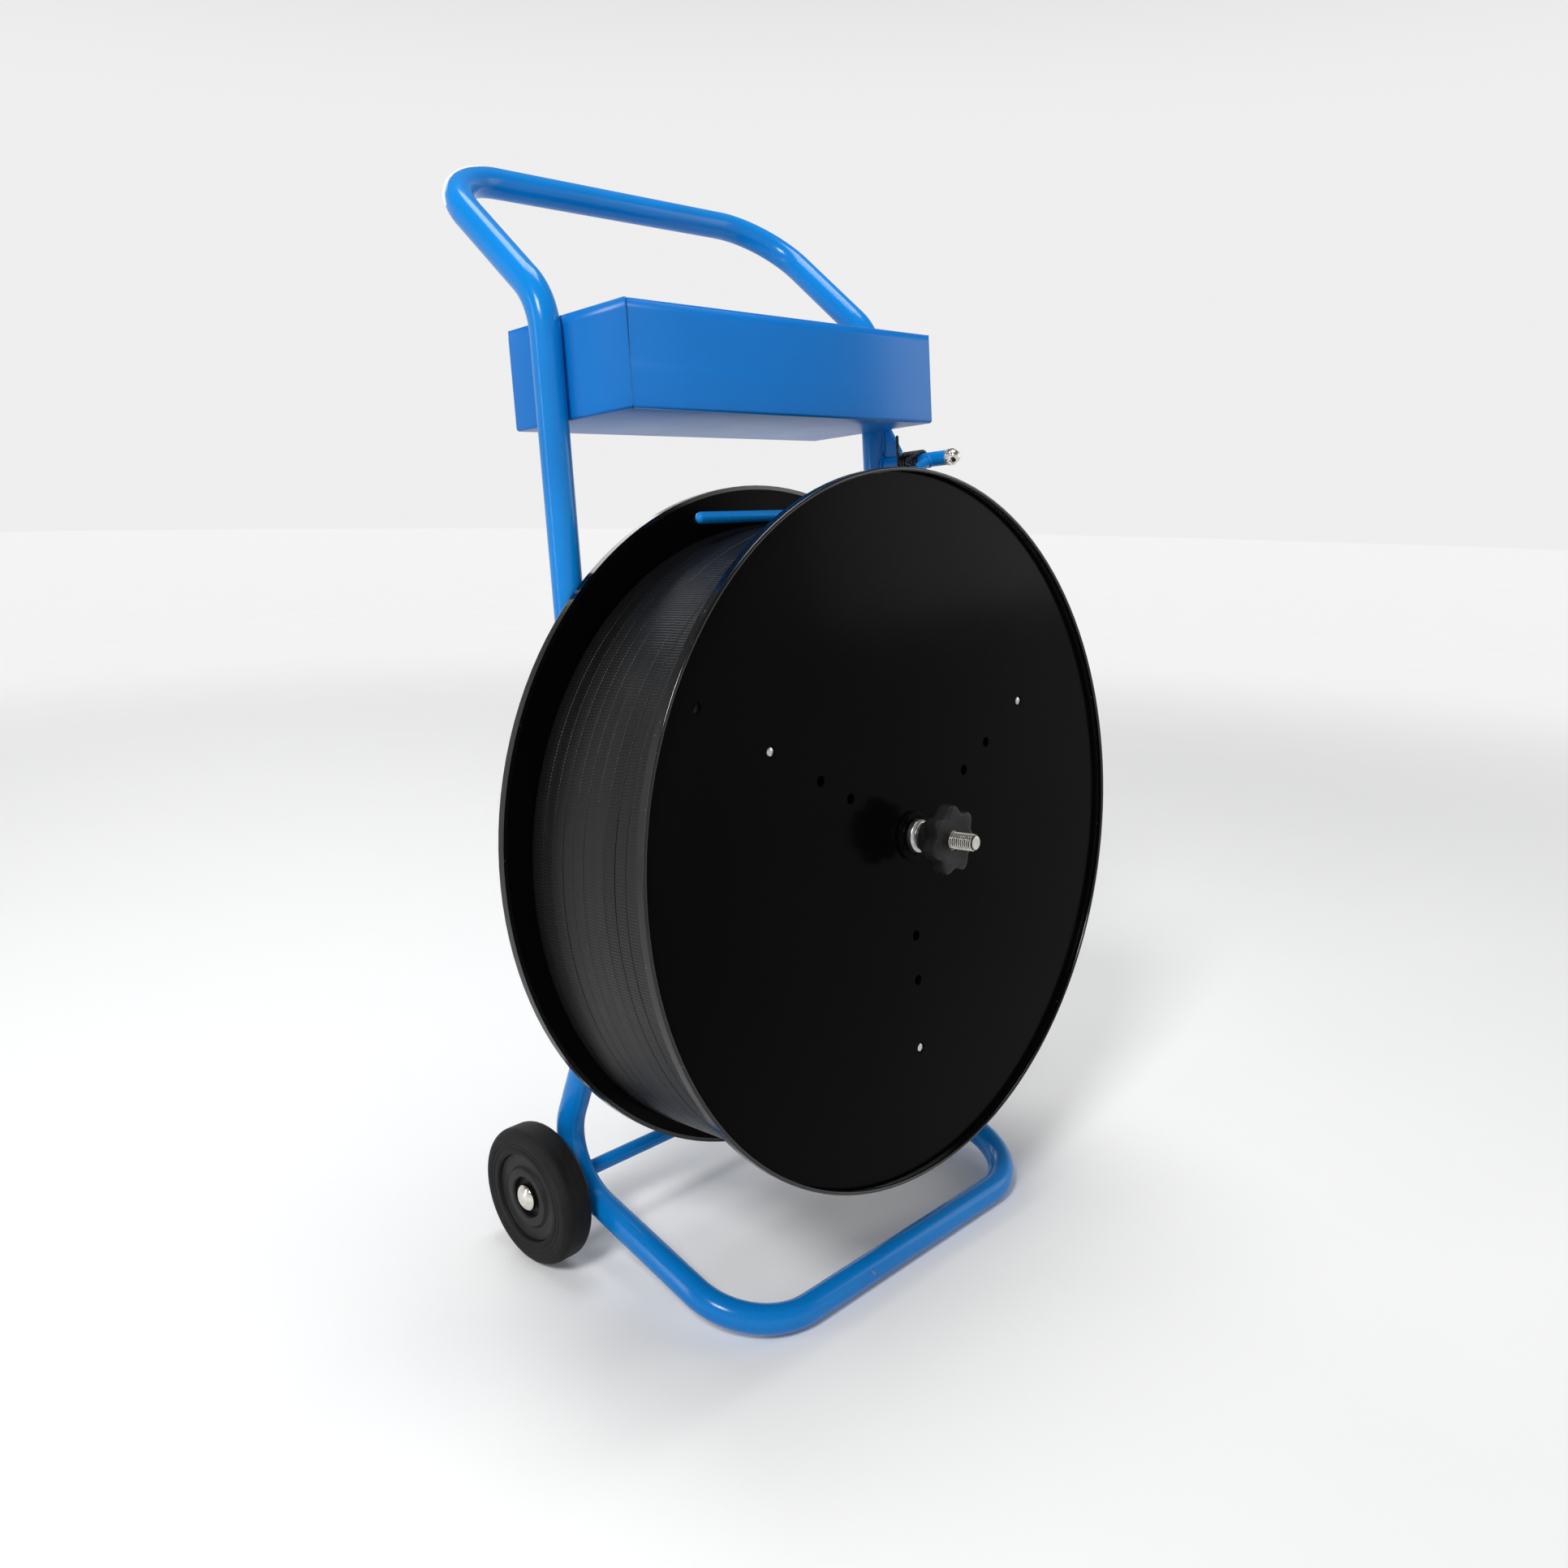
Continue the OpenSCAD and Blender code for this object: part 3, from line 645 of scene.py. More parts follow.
def strap_layer(r_top, y_low, y_high, start, hand, ribs_per_turn, samples, seed):
    """One layer of strap wound as a helix between the flanges; returns verts, faces, uvs."""
    wide, pitch, thick, rib = 12.1, 12.4, 0.65, 0.26
    turns = (y_high - y_low - wide) / pitch
    cols = int(turns * ribs_per_turn * samples)
    a = np.linspace(0, turns * TAU, cols)
    rnd = np.random.RandomState(seed)
    per = rnd.uniform(-1, 1, int(turns) + 4)
    per_y = rnd.uniform(-1, 1, int(turns) + 4)
    t = a / TAU
    i = t.astype(int)
    f = t - i
    f = f * f * (3 - 2 * f)
    lift = per[i] * (1 - f) + per[i + 1] * f
    side = per_y[i] * (1 - f) + per_y[i + 1] * f
    ang = a + math.radians(start)
    y = y_low + wide / 2 + pitch * t + 0.28 * np.sin(2 * ang + seed) + 0.16 * side
    y = y + 0.05 * np.sin(9.7 * a + seed)
    if hand < 0:
        y = y_low + y_high - y
    y = np.clip(y, y_low + wide / 2, y_high - wide / 2)
    r = r_top - rib - 0.30 + 0.28 * lift + 0.03 * np.sin(5.3 * a)
    grow = np.clip(a / 0.35, 0, 1)
    tail = np.clip((turns * TAU - a) / 0.2, 0, 1)
    r = r - 0.5 * (1 - grow) - 0.2 * (1 - tail)
    ph = np.arange(cols) % samples / samples
    rise = rib * np.sin(math.pi * ph) ** 0.7 if samples > 2 else rib * (ph > 0.2)
    y = y + 0.3 * np.exp(-((a / TAU - 1.6) / 0.25) ** 2)
    half = wide / 2
    section = [(-half, -thick, 0.0), (-half, -0.14, 0.6), (-half + 0.25, 0.0, 1.0),
               (half - 0.25, 0.0, 1.0), (half, -0.14, 0.6), (half, -thick, 0.0)]
    m = len(section)
    rr = np.stack([r + dz + rise * g for _, dz, g in section], 1)
    yy = np.stack([y + dy for dy, _, _ in section], 1)
    verts = np.stack([rr * np.cos(ang)[:, None], yy, rr * np.sin(ang)[:, None]], 2).reshape(-1, 3)
    along = np.repeat(a * r_top * MM, m)
    across = np.tile(np.array([dy for dy, _, _ in section]) * MM, cols)
    across = across + np.repeat(t * pitch * MM, m)
    c = np.arange(cols - 1)[:, None] * m
    k = np.arange(m)[None, :]
    j = (k + 1) % m
    quads = np.stack([c + k, c + j, c + m + j, c + m + k], 2).reshape(-1, 4).tolist()
    quads.append(list(range(m))[::-1])
    quads.append(list(range((cols - 1) * m, cols * m)))
    return verts.tolist(), quads, np.stack([along, across], 1).tolist()


def make_coil():
    """The wound strap: a plain body under two layers, wound as opposite helices."""
    lo, hi = local_box("strap_coil", COIL)
    core = local_box("coil_core", COIL)[1][0] + 0.1
    y0, y1, top = lo[1], hi[1], hi[0]
    inner = turned([(core, y0 + 0.3), (top - 1.9, y0 + 0.3), (top - 1.55, y0 + 0.7),
                    (top - 1.55, y1 - 0.7), (top - 1.9, y1 - 0.3), (core, y1 - 0.3)], 360)
    piece("strap_coil_body", *inner[:2], "strap", "coil", "strap_plastic", uvs=inner[2],
          place=COIL)
    under = strap_layer(top - 0.75, y0, y1, 40, -1, STRAP_RIBS, 2, 7)
    piece("strap_layer_under", *under[:2], "strap", "coil", "strap_plastic", uvs=under[2],
          sharp=70, place=COIL)
    over = strap_layer(top, y0, y1, 96, 1, STRAP_RIBS, 4, 3)
    piece("strap_layer_top", *over[:2], "strap", "coil", "strap_plastic", ["strap_coil"],
          uvs=over[2], sharp=22, place=COIL)


def make_axle():
    """The reel axle: a cut thread at its front end, plain behind."""
    lo, hi = local_box("reel_axle")
    tip, end = lo[1], hi[1]
    r = 6.95
    n = 64
    th = np.arange(n) / n
    pitch, depth = 2.0, 1.22
    rings = [(0.0, tip), (r - 2.6, tip)]
    thread_end = -1.0
    y = tip
    while y < thread_end:
        phase = (y / pitch - th) % 1.0
        tri = np.clip((np.abs(phase - 0.5) * 2 - 0.08) / 0.8, 0, 1)
        rr = r - depth * tri
        cut = r - 1.6 + (y - tip)
        fade = np.clip((y - (thread_end - 2.5)) / 2.5, 0, 1)
        rr = rr * (1 - fade) + (r - depth) * fade
        rings.append((np.minimum(rr, cut), y))
        y += 0.2
    rings += [(r - depth, thread_end), (r, thread_end + 0.9), (r, end - 1.2), (r - 1.2, end),
              (0.0, end)]
    m = turned(rings, n, closed=False)
    piece("threaded_axle", *m[:2], "thread", "frame", "zinc", ["reel_axle"], uvs=m[2], sharp=50)


def make_knob():
    """The seven-lobed clamp knob and the brass insert that runs on the thread."""
    lo, hi = local_box("star_knob")
    front, back = lo[1], hi[1]
    n = 168
    a = np.arange(n) * TAU / n
    lobe = ((1 + np.cos(7 * (a - math.radians(90)))) / 2)
    outer = 23.4 + 5.6 * lobe ** 0.95
    mid = -28.0
    rings = [(10.06, front + 2.45), (8.1, front + 2.45), (8.1, front + 1.9), (8.7, front + 1.3),
             (11.5, front + 1.1), (15.5, front + 0.8), (17.2, front + 0.35), (outer - 3.4, front),
             (outer - 1.5, front + 0.25),
             (outer - 0.5, front + 0.95), (outer - 0.05, front + 2.2), (outer, front + 4.0),
             (outer, mid - 3.4), (outer - 0.1, mid - 1.8), (outer - 0.7, mid - 0.6),
             (outer - 2.0, mid), (16.2, mid), (15.0, mid + 0.5), (14.5, mid + 1.8),
             (14.4, back - 1.2),
             (13.9, back - 0.3), (13.1, back), (8.0, back), (8.0, back - 3.0), (10.06, back - 3.0)]
    m = turned(rings, n)
    piece("knob_moulding", *m[:2], "knob", "clamp_knob", "knob_plastic", ["star_knob"], uvs=m[2])
    ilo, ihi = local_box("knob_insert")
    f, b = ilo[1], ihi[1]
    rings = [(AXLE_BORE, f + 0.7), (7.7, f), (8.4, f), (8.6, f + 0.25), (8.8, f), (9.6, f),
             (9.98, f + 0.4), (9.98, f + 4), (9.6, f + 4.4), (9.98, f + 4.8), (9.98, b - 0.4),
             (9.6, b), (7.6, b), (AXLE_BORE, b - 0.6)]
    m = turned(rings, 96)
    piece("brass_insert", *m[:2], "brass", "clamp_knob", "insert_brass", ["knob_insert"],
          uvs=m[2])


def make_thrust_bush():
    """The stepped bush between the knob and the front flange."""
    lo, hi = local_box("thrust_bush")
    front, back = lo[1], hi[1]
    shape = filleted([(AXLE_BORE, back, 0), (12.6, back, 0.4), (14.0, back - 1.2, 0.9),
                      (14.0, back - 5.4, 1.4), (12.2, back - 7.2, 0.8), (11.5, -9.0, 0.5),
                      (11.5, front + 1.0, 0.8), (10.6, front, 0.3), (8.2, front, 0.2),
                      (AXLE_BORE, front + 0.9, 0)])
    m = turned(shape, 96)
    piece("thrust_ring", *m[:2], "zinc", "clamp_bush", "zinc", ["thrust_bush"], uvs=m[2])


def make_collars():
    """The pressed collar round the bore of each flange."""
    lo, hi = local_box("flange_collars")
    parts = []
    for y0, y1 in ((lo[1], lo[1] + 3.45), (hi[1], hi[1] - 3.45)):
        s = 1 if y1 > y0 else -1
        shape = [(10.5, y1, 0), (10.5, y0, 0.5), (13.6, y0, 0.1), (14.2, y0 + s * 0.5, 0.1),
                 (15.4, y0 + s * 0.5, 0.1), (16.0, y0, 0.1), (19.6, y0, 0.6),
                 (20.5, y0 + s, 0.6), (20.5, y1, 0)]
        parts.append(turned(filleted(shape), 96))
    m = joined(parts)
    piece("collar_rings", *m[:2], "enamel", "reel", "black_paint", ["flange_collars"],
          uvs=m[2])


def make_fasteners():
    """The axle's lock nut, and the three bars that carry the coil with their nuts."""
    lo, hi = local_box("rear_nut")
    m = turned(hex_body(21, lo[1], hi[1], AXLE_BORE), 96)
    piece("axle_lock_nut", *m[:2], "zinc", "frame", "zinc", ["rear_nut"], uvs=m[2], sharp=24)
    lo, hi = local_box("coil_supports")
    nlo, nhi = local_box("support_nuts")
    reach = (hi[0] - lo[0] - 8) / 2 / math.cos(math.radians(30))
    bars, nuts = [], []
    n = 40
    th = np.arange(n) / n
    for k in range(3):
        ang = math.radians(30 + 120 * k)
        cx, cz = -reach * math.cos(ang), reach * math.sin(ang)
        rings = [(0.0, lo[1]), (3.1, lo[1]), (3.95, lo[1] + 0.9), (3.95, hi[1] - 16)]
        y = hi[1] - 16
        while y < hi[1]:
            tri = np.clip((np.abs((y / 1.25 - th) % 1.0 - 0.5) * 2 - 0.08) / 0.8, 0, 1)
            rings.append((np.minimum(3.97 - 0.6 * tri, 3.0 + (hi[1] - y)), y))
            y += 0.2
        rings += [(3.0, hi[1]), (0.0, hi[1])]
        v, f, u = turned(rings, n, closed=False)
        bars.append(([(x + cx, y, z + cz) for x, y, z in v], f, u))
        v, f, u = turned(hex_body(13, nlo[1], nhi[1], 4.05), 96)
        nuts.append(([(x + cx, y, z + cz) for x, y, z in v], f, u))
    m = joined(bars)
    piece("support_bars", *m[:2], "zinc", "reel", "zinc", ["coil_supports"], uvs=m[2],
          sharp=50)
    m = joined(nuts)
    piece("support_lock_nuts", *m[:2], "zinc", "reel", "zinc", ["support_nuts"], uvs=m[2],
          sharp=24)


# ---------------------------------------------------------------- frame details

def circle_pts(c, u, v, r, n=40):
    """n points on the circle of radius r round c, in the plane of u and v."""
    c, u, v = Vector(c), Vector(u), Vector(v)
    return [c + u * (r * math.cos(TAU * k / n)) + v * (r * math.sin(TAU * k / n))
            for k in range(n)]


def make_welds():
    """Weld beads where the frame's tubes, tray and axle bar meet."""
    cross_lo, cross_hi = local_box("reel_crossbar")
    tray_lo, tray_hi = local_box("tool_tray")
    up_lo, up_hi = local_box("upper_frame")
    tube_r = TUBE_RADIUS
    span = up_hi[0] - tube_r
    cy = (cross_lo[1] + cross_hi[1]) / 2
    joint_z = up_lo[2]
    stitch_back = 7.6                                   # from the tube's middle
    parts, seed = [], 0
    for s in (-1, 1):
        # saddle where the cross tube meets the upright
        ring = []
        for k in range(48):
            a = TAU * k / 48
            dy = (tube_r + 0.6) * math.cos(a)
            dz = (tube_r + 0.6) * math.sin(a)
            dx = math.sqrt(max(0.0, (tube_r + 0.9) ** 2 - min(dy * dy, (tube_r + 0.9) ** 2 - 9)))
            ring.append((s * (span - dx), cy + dy, dz))
        parts.append(weld_bead(ring, 2.1, True, 11 + seed))
        # butt joint of upright and leg
        butt = circle_pts((s * span, cy, joint_z), (1, 0, 0), (0, 1, 0), tube_r - 0.2, 60)
        parts.append(weld_bead(butt, 1.5, True, 21 + seed))
        # stitches between tray side and the back of the upright
        stitch_x, stitch_y = s * (tray_hi[0] + 1.0), cy + stitch_back
        for za, zb in ((8, 34), (48, 72)):
            stitch = [(stitch_x, stitch_y, tray_lo[2] + za), (stitch_x, stitch_y, tray_lo[2] + zb)]
            parts.append(weld_bead(stitch, 1.9, False, 31 + seed))
            seed += 1
    m = joined(parts)
    piece("frame_welds", *m[:2], "blue_tube", "frame", "blue_paint", uvs=m[2], sharp=80)

    # axle bar against the rear bends: short fillets over and under the bar
    lo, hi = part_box("wheel_axle")
    c = Vector((0, (lo.y + hi.y) / 2, (lo.z + hi.z) / 2)) / MM
    bend_slope = math.radians(39.4)                     # of the rear bend where the bar meets it
    half = 9.5
    parts = []
    for s in (-1, 1):
        for t in (-1, 1):
            out = Vector((0, -math.cos(bend_slope), math.sin(bend_slope)))
            side = Vector((0, -out.z, out.y)) * t
            at = c + out * 4.6 + side * 7.0
            ends = [at + Vector((s * span + x, 0, 0)) for x in (-half, half)]
            parts.append(weld_bead(ends, 2.0, False, 51 + s + 3 * t))
    m = joined(parts)
    piece("axle_welds", *m[:2], "blue_tube", "frame", "blue_paint", place=Matrix.Identity(4),
          uvs=m[2], sharp=80)


def make_tray():
    """The folded sheet tray, slit at one front corner, and the hem on its front edge."""
    lo, hi = local_box("tool_tray")
    x0, x1, y0, y1, z0, z1 = lo[0], hi[0], lo[1], hi[1], lo[2], hi[2]
    sheet, hem, fold, corner = 1.5, 9.0, 2.6, 3.2
    top_front = z1 - sheet
    tall = z1 - z0

    def outline(inset, gap, k=6):
        """Outline from above, from the left panel's front edge round to the front panel's."""
        ax, bx, ay, by = x0 + inset, x1 - inset, y0 + inset, y1 - inset
        r = max(0.4, corner - inset)
        pts = [(ax, ay)]
        for cx, cy, a0 in ((ax + r, by - r, 180), (bx - r, by - r, 90), (bx - r, ay + r, 0)):
            for s in range(k + 1):
                a = math.radians(a0 - 90 * s / k)
                pts.append((cx + r * math.cos(a), cy + r * math.sin(a)))
        pts.append((ax + sheet + gap, ay))
        return pts

    levels = []
    for s in range(6):
        a = math.radians(90 * s / 5)
        levels.append((fold * (1 - math.sin(a)), z0 + fold * (1 - math.cos(a)), 0.12))
    split = z0 + 0.42 * tall
    for s in range(1, 5):
        levels.append((0.0, z0 + fold + (split - z0 - fold) * s / 4, 0.14))
    for s in range(0, 7):
        levels.append((0.0, split + (z1 - split) * max(0.02, s / 6), 0.35 + 1.25 * (s / 6)))
    verts, rows = [], []
    for inset, z, gap in levels:
        pts = outline(inset, gap)
        m = len(pts)
        rows.append(list(range(len(verts), len(verts) + m)))
        for i, (x, y) in enumerate(pts):
            front = i >= m - 2
            verts.append((x, y, min(z, top_front) if front else z))
    faces = []
    for a, b in zip(rows, rows[1:]):
        for i in range(len(a) - 1):
            faces.append([a[i], a[i + 1], b[i + 1], b[i]])
    faces.append(rows[0][::-1])
    piece("tray_shell", verts, faces, "blue_sheet", "frame", "blue_sheet", ["tool_tray"],
          solid=sheet, sharp=30)

    # folded-over hem along the front top edge
    sec = [(0.0, top_front)]
    for s in range(9):
        a = math.radians(180 - 180 * s / 8)
        sec.append((sheet + sheet * math.cos(a), top_front + sheet * math.sin(a)))
    sec += [(2 * sheet, z1 - hem), (sheet + 0.06, z1 - hem), (sheet + 0.06, top_front)]
    xs = [x0 + sheet + 1.7, x0 + sheet + 2.2, x1 - sheet - 2.4, x1 - sheet - 1.9]
    verts, faces = [], []
    for i, x in enumerate(xs):
        pull = 0.25 if i in (0, 3) else 0.0
        for y, z in sec[1:]:
            drawn_in = pull if y < sheet else -pull * 0.2
            verts.append((x, y0 + y + drawn_in, z - pull * (z > z1 - 3)))
    k = len(sec) - 1
    for i in range(len(xs) - 1):
        for j in range(k):
            q = (j + 1) % k
            faces.append([i * k + j, i * k + q, (i + 1) * k + q, (i + 1) * k + j])
    faces.append(list(range(k)))
    faces.append(list(range((len(xs) - 1) * k, len(xs) * k))[::-1])
    piece("tray_hem", verts, faces, "blue_sheet", "frame", "blue_sheet", sharp=40)


def make_hold_down():
    """The hold-down arm's bent rod, and the weld that joins it to the arm's tube."""
    lo, hi = local_box("hold_down_rod")
    slo, shi = local_box("arm_sleeve")
    y = (lo[1] + hi[1]) / 2
    px, pz = (slo[0] + shi[0]) / 2, (slo[2] + shi[2]) / 2
    low = low_of_rod()
    root = Vector((px, y, pz))
    corner = Vector((ROD_BEND_X, y, low))
    start = root + unit(corner - root) * 6.2
    path = bent_path([start, corner, (lo[0], y, low)], [0, 60, 0], 2.0)
    m = swept(path, ROD_RADIUS, 32, dome=(False, True))
    piece("hold_down_bar", *m[:2], "blue_tube", "hold_down_arm", "blue_paint",
          ["hold_down_rod"], uvs=m[2])
    u = unit(corner - root)
    side = Vector((-u.z, 0, u.x))
    tube_face, ring_r = 7.4, 5.0
    ring = []
    for k in range(40):
        a = TAU * k / 40
        out = math.sqrt(tube_face * tube_face - min(22.0, (4.9 * math.sin(a)) ** 2))
        ring.append(root + u * out + Vector((0, 1, 0)) * ring_r * math.cos(a)
                    + side * ring_r * math.sin(a))
    m = weld_bead(ring, 1.5, True, 71)
    piece("rod_weld", *m[:2], "blue_tube", "hold_down_arm", "blue_paint", uvs=m[2], sharp=80)


def make_pivot():
    """The arm's pivot: tube, domed nut, washer, torsion spring and welds."""
    slo, shi = local_box("arm_sleeve")
    glo, ghi = local_box("brake_gusset")
    _, uhi = local_box("pivot_sleeve")
    px, pz = (slo[0] + shi[0]) / 2, (slo[2] + shi[2]) / 2
    at_pivot = REEL @ Matrix.Translation(Vector((px, 0, pz)) * MM)
    m = turned(filleted([(5.05, slo[1], 0), (6.4, slo[1], 0.3), (7.0, slo[1] + 0.6, 0.3),
                         (7.0, shi[1] - 0.6, 0.3), (6.4, shi[1], 0.3), (5.05, shi[1], 0)]), 72)
    piece("arm_tube", *m[:2], "blue_tube", "hold_down_arm", "blue_paint", ["arm_sleeve"],
          place=at_pivot, uvs=m[2])
    # domed nut
    _, ahi = local_box("acorn_nut")
    back = ahi[1]
    front = back - 5.4
    tip = front - 5.2
    nut_af, bore = 13.6, 5.1
    dome = [(6.3 * math.sin(math.radians(t)), tip + 5.6 * (1 - math.cos(math.radians(t))))
            for t in (0, 8, 16, 24, 32, 40, 48, 56, 64, 72, 80)]
    body = [(6.35, front - 0.1), (hexagon(nut_af, 6.7), front),
            (hexagon(nut_af, 7.3), front + 0.5), (hexagon(nut_af, 7.85), front + 1.1),
            (hexagon(nut_af, 7.85), back - 0.8), (hexagon(nut_af, 7.2), back),
            (bore, back), (bore, front + 0.9), (0.0, front + 0.7)]
    m = turned(dome + body, 96, closed=False)
    piece("domed_nut", *m[:2], "nickel", "frame", "cap_metal", ["acorn_nut"], place=at_pivot,
          uvs=m[2], sharp=24)
    wlo, whi = local_box("pivot_washer")
    m = turned(filleted([(bore, wlo[1], 0), (7.7, wlo[1], 0.4), (7.7, whi[1], 0.3),
                         (bore, whi[1], 0)]), 96)
    piece("nut_washer", *m[:2], "zinc", "frame", "zinc", ["pivot_washer"], place=at_pivot,
          uvs=m[2])
    # torsion spring, wound round the sleeve; its front leg runs along the rod and hooks over it
    blo, bhi = local_box("brake_spring")
    mean, wire, turns = 8.85, 1.48, 7
    d = unit(Vector((ROD_BEND_X - px, 0, low_of_rod() - pz)))
    lead = math.atan2(d.x, d.z) % TAU
    turns_end = math.radians(180) + turns * TAU
    ya, yb = blo[1] + wire + 0.1, bhi[1] - wire - 0.1
    rod_y = slo[1] + 20.0
    root = Vector((mean * math.cos(lead), ya, -mean * math.sin(lead)))
    over = Vector((-d.z, 0, d.x))                       # square to the rod, upwards
    if over.z < 0:
        over = -over
    far = root + d * 31
    hook = [far + Vector((0, rod_y - ya - 5.5, 0)) + over * -2.4,
            far + Vector((0, rod_y - ya, 0)) + over * -2.4,
            root + d * 27]
    pts = bent_path([*hook, root], [0, 2.2, 8, 0], 1.0)
    pts.pop()
    k = int((turns_end - lead) / TAU * 40)
    for q in range(k + 1):
        a = lead + (turns_end - lead) * q / k
        pts.append(Vector((mean * math.cos(a), ya + (yb - ya) * q / k, -mean * math.sin(a))))
    tail = pts[-1]
    for q in range(1, 9):
        pts.append(tail + Vector((0, 0, 26 * q / 8)))
    m = swept(pts, wire, 14, dome=(True, True))
    o = piece("torsion_spring", *m[:2], "spring", None, "spring_steel", ["brake_spring"],
              place=at_pivot, uvs=m[2])
    a = at_pivot @ (Vector((0, yb, 0)) * MM)
    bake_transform(o)
    # welds of sleeve and gusset to the upright
    seat = circle_pts((0, uhi[1] - 0.4, 0), (1, 0, 0), (0, 0, 1), 8.0, 40)
    parts = [weld_bead(seat, 1.7, True, 81)]
    for s in (-1, 1):
        x, y = s * 2.4, ghi[1] - 0.4
        parts.append(weld_bead([(x, y, glo[2] - pz + 4), (x, y, ghi[2] - pz - 2)],
                               1.6, False, 83 + s))
    m = joined(parts)
    piece("pivot_welds", *m[:2], "blue_tube", "frame", "blue_paint", place=at_pivot, uvs=m[2],
          sharp=80)


def low_of_rod():
    """Height of the middle of the rod's level stretch, in the reel's frame."""
    return local_box("hold_down_rod")[0][2] + ROD_RADIUS


# ---------------------------------------------------------------- wheels

def make_wheel(side):
    """Solid tyre and moulded rim of the left (-1) or right (1) wheel."""
    node = "right" if side > 0 else "left"
    turn = Matrix(((0, side, 0), (-side, 0, 0), (0, 0, 1))).to_4x4()      # local y becomes +-x
    place = Matrix.Translation((0, WHEEL_POS.y, WHEEL_POS.z)) @ turn
    lo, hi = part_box(f"{node}_tyre")
    near, far = (lo.x, hi.x) if side > 0 else (-hi.x, -lo.x)
    near, far = near / MM, far / MM
    outer = (hi.z - lo.z) / 2 / MM
    shoulder = 8
    shape = [(40.06, near + 0.6), (40.6, near), (45.5, near), (45.9, near + 0.35),
             (46.5, near + 0.35), (46.9, near), (53.0, near + 0.1)]
    for s in range(1, 12):
        a = math.radians(90 * s / 12)
        shape.append((outer - shoulder + shoulder * math.sin(a),
                      near + shoulder - shoulder * math.cos(a)))
    for y in np.linspace(near + shoulder, far - shoulder, 9):
        shape.append((outer, float(y)))
    for s in range(11, 0, -1):
        a = math.radians(90 * s / 12)
        shape.append((outer - shoulder + shoulder * math.sin(a),
                      far - shoulder + shoulder * math.cos(a)))
    shape += [(53.0, far - 0.1), (50.6, far), (50.3, far - 0.3), (49.9, far - 0.3),
              (49.6, far), (46.9, far), (46.5, far - 0.35), (45.9, far - 0.35), (45.5, far),
              (40.6, far), (40.06, far - 0.6)]
    m = turned(shape, 144)
    piece(f"{node}_tread", *m[:2], "rubber", f"{node}_wheel", "tyre_rubber", [f"{node}_tyre"],
          place=place, uvs=m[2], sharp=50)
    rim = filleted([(AXLE_BORE, near, 0), (25, near, 0.8), (25, near + 3, 0.8),
                    (39.98, near + 3, 0.5), (39.98, far - 3, 1.2), (37.6, far - 3, 0.5),
                    (36.8, far - 3.9, 0.5), (28.6, far - 4.3, 1.6), (26.2, far - 1.7, 1.4),
                    (20.0, far - 1.5, 1.0), (18.5, far - 2.6, 0.6), (18.5, far - 8, 0.6),
                    (11.0, far - 8, 0.4), (AXLE_BORE, far - 8, 0)])
    m = turned(rim, 144)
    piece(f"{node}_hub", *m[:2], "rim", f"{node}_wheel", "rim_plastic", [f"{node}_rim"],
          place=place, uvs=m[2])


def make_caps():
    """The domed push-on caps at both ends of the wheel axle."""
    _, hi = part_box("wheel_caps")
    parts = []
    for side in (-1, 1):
        apex, base = hi.x / MM, hi.x / MM - 11.5
        ball = 17.5                                     # the dome is part of this sphere
        shape = [(0.0, apex)]
        for t in range(1, 10):
            q = 12.0 * t / 9.3
            shape.append((q, apex - ball + math.sqrt(ball ** 2 - q * q)))
        shape += [(11.9, apex - 4.9), (12.0, apex - 5.4), (12.0, base + 0.3), (11.7, base),
                  (AXLE_BORE, base), (AXLE_BORE, base + 6), (0.0, base + 6)]
        v, f, u = turned(shape, 96, closed=False)
        v = [(side * y, WHEEL_POS.y / MM + x, WHEEL_POS.z / MM + z) for x, y, z in v]
        parts.append((v, f, u))
    m = joined(parts)
    piece("hub_domes", *m[:2], "nickel", "frame", "cap_metal", ["wheel_caps"],
          place=Matrix.Identity(4), uvs=m[2], sharp=40)


# ---------------------------------------------------------------- carried-over CAD nodes

CAD_FINISH = {
    "lower_frame": "blue_tube", "upper_frame": "blue_tube", "wheel_axle": "blue_tube",
    "reel_crossbar": "blue_tube", "brake_gusset": "blue_tube", "pivot_sleeve": "blue_tube",
    "wheel_spacers": "zinc", "rear_washer": "zinc", "pivot_stud": "zinc",
    "front_flange": "enamel", "rear_flange": "enamel",
    "hub_tube": "enamel", "hub_bushes": "acetal", "coil_core": "board",
}


def dress_cad():
    """Gives the CAD nodes that are shown as they are their materials."""
    for node, mat in CAD_FINISH.items():
        o = NODES[node]
        o.data.materials.clear()
        o.data.materials.append(MATS[mat])


# ---------------------------------------------------------------- stage

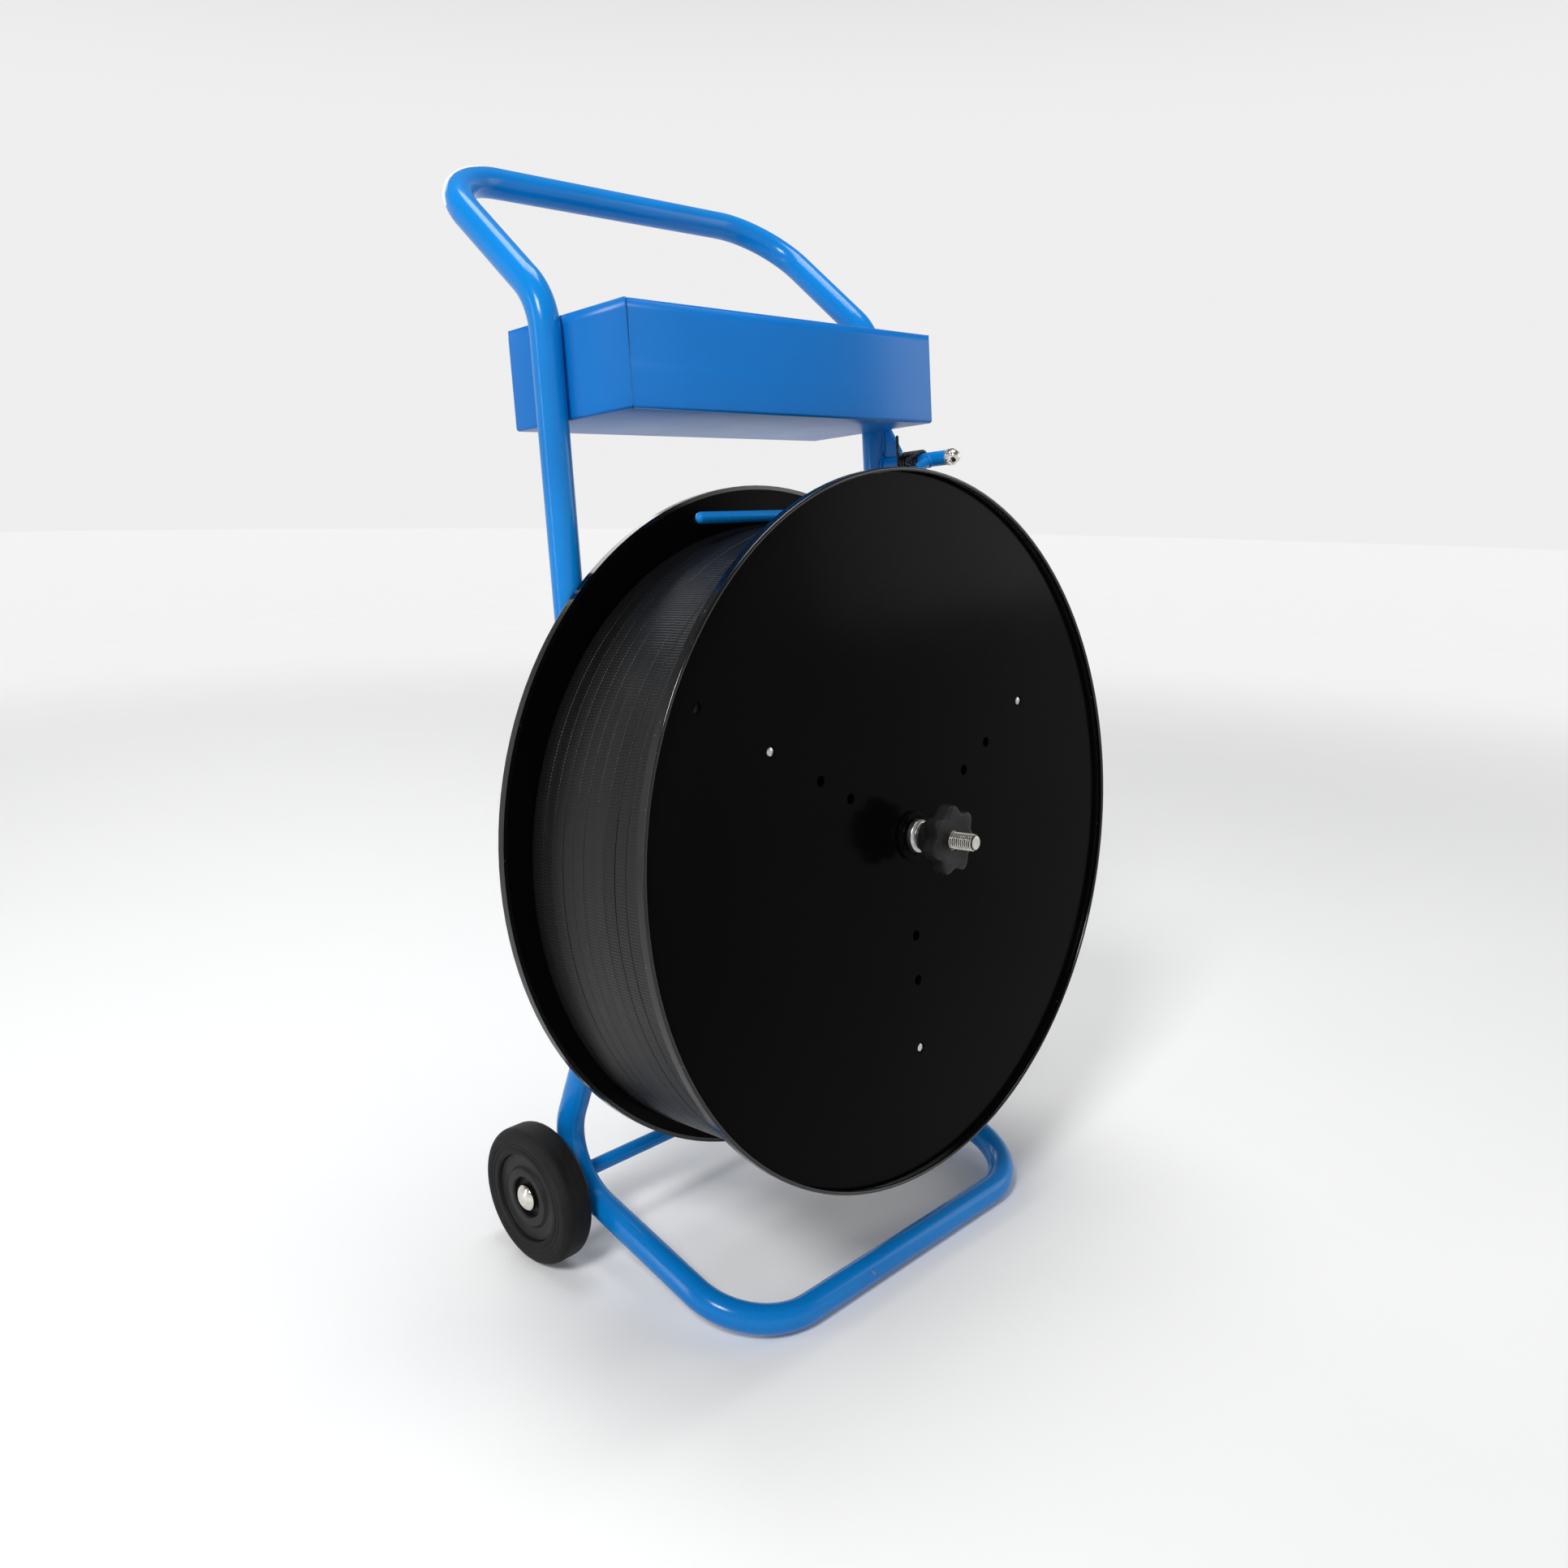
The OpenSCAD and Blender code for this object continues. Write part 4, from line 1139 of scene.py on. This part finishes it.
def make_stage():
    """Floor, wall light and five area lights round the cart."""
    sc = bpy.context.scene
    sc.view_settings.view_transform = "Standard"
    me = bpy.data.meshes.new("floor")
    r, k, under = 14.0, 64, -0.0006                     # just under the wheels
    verts = [(r * math.cos(TAU * i / k), r * math.sin(TAU * i / k), under) for i in range(k)]
    me.from_pydata(verts, [], [list(range(k))])
    me.materials.append(MATS["floor"])
    floor = bpy.data.objects.new("floor", me)
    sc.collection.objects.link(floor)
    world = bpy.data.worlds.new("studio")
    sc.world = world
    world.use_nodes = True
    tree = world.node_tree
    way = tree.nodes.new("ShaderNodeTexCoord")
    split = tree.nodes.new("ShaderNodeSeparateXYZ")
    ramp = tree.nodes.new("ShaderNodeValToRGB")
    tree.links.new(way.outputs["Generated"], split.inputs[0])
    tree.links.new(split.outputs["Z"], ramp.inputs["Fac"])
    ramp.color_ramp.interpolation = "EASE"
    ramp.color_ramp.elements[0].position = SKY_PALE_TO
    ramp.color_ramp.elements[0].color = (1, 1, 1, 1)
    ramp.color_ramp.elements[1].position = SKY_DIM_FROM
    ramp.color_ramp.elements[1].color = (0.24, 0.24, 0.24, 1)
    bg = tree.nodes["Background"]
    tree.links.new(ramp.outputs["Color"], bg.inputs["Color"])
    bg.inputs["Strength"].default_value = SKY_STRENGTH

    def area(name, at, to, size, power):
        d = bpy.data.lights.new(name, "AREA")
        d.shape = "RECTANGLE"
        d.size, d.size_y = size
        d.energy = power
        o = bpy.data.objects.new(name, d)
        o.location = at
        o.rotation_mode = "QUATERNION"
        o.rotation_quaternion = (Vector(to) - Vector(at)).to_track_quat("-Z", "Y")
        sc.collection.objects.link(o)

    mid = (0, 0, 0.45)
    area("key", (-2.2, -0.9, 2.5), mid, (0.7, 0.7), 62)
    area("top", (0.2, 0.3, 3.0), mid, (1.4, 1.0), 38)
    area("strip", (-2.6, 1.0, 0.9), mid, (0.25, 1.8), 9)
    area("fill", (2.4, -1.6, 1.4), mid, (1.2, 1.6), 12)
    area("back", (0.6, 2.6, 1.8), mid, (1.6, 1.2), 18)


dress_cad()
make_coil()
make_axle()
make_knob()
make_thrust_bush()
make_collars()
make_fasteners()
make_welds()
make_tray()
make_hold_down()
make_pivot()
make_wheel(-1)
make_wheel(1)
make_caps()
make_stage()
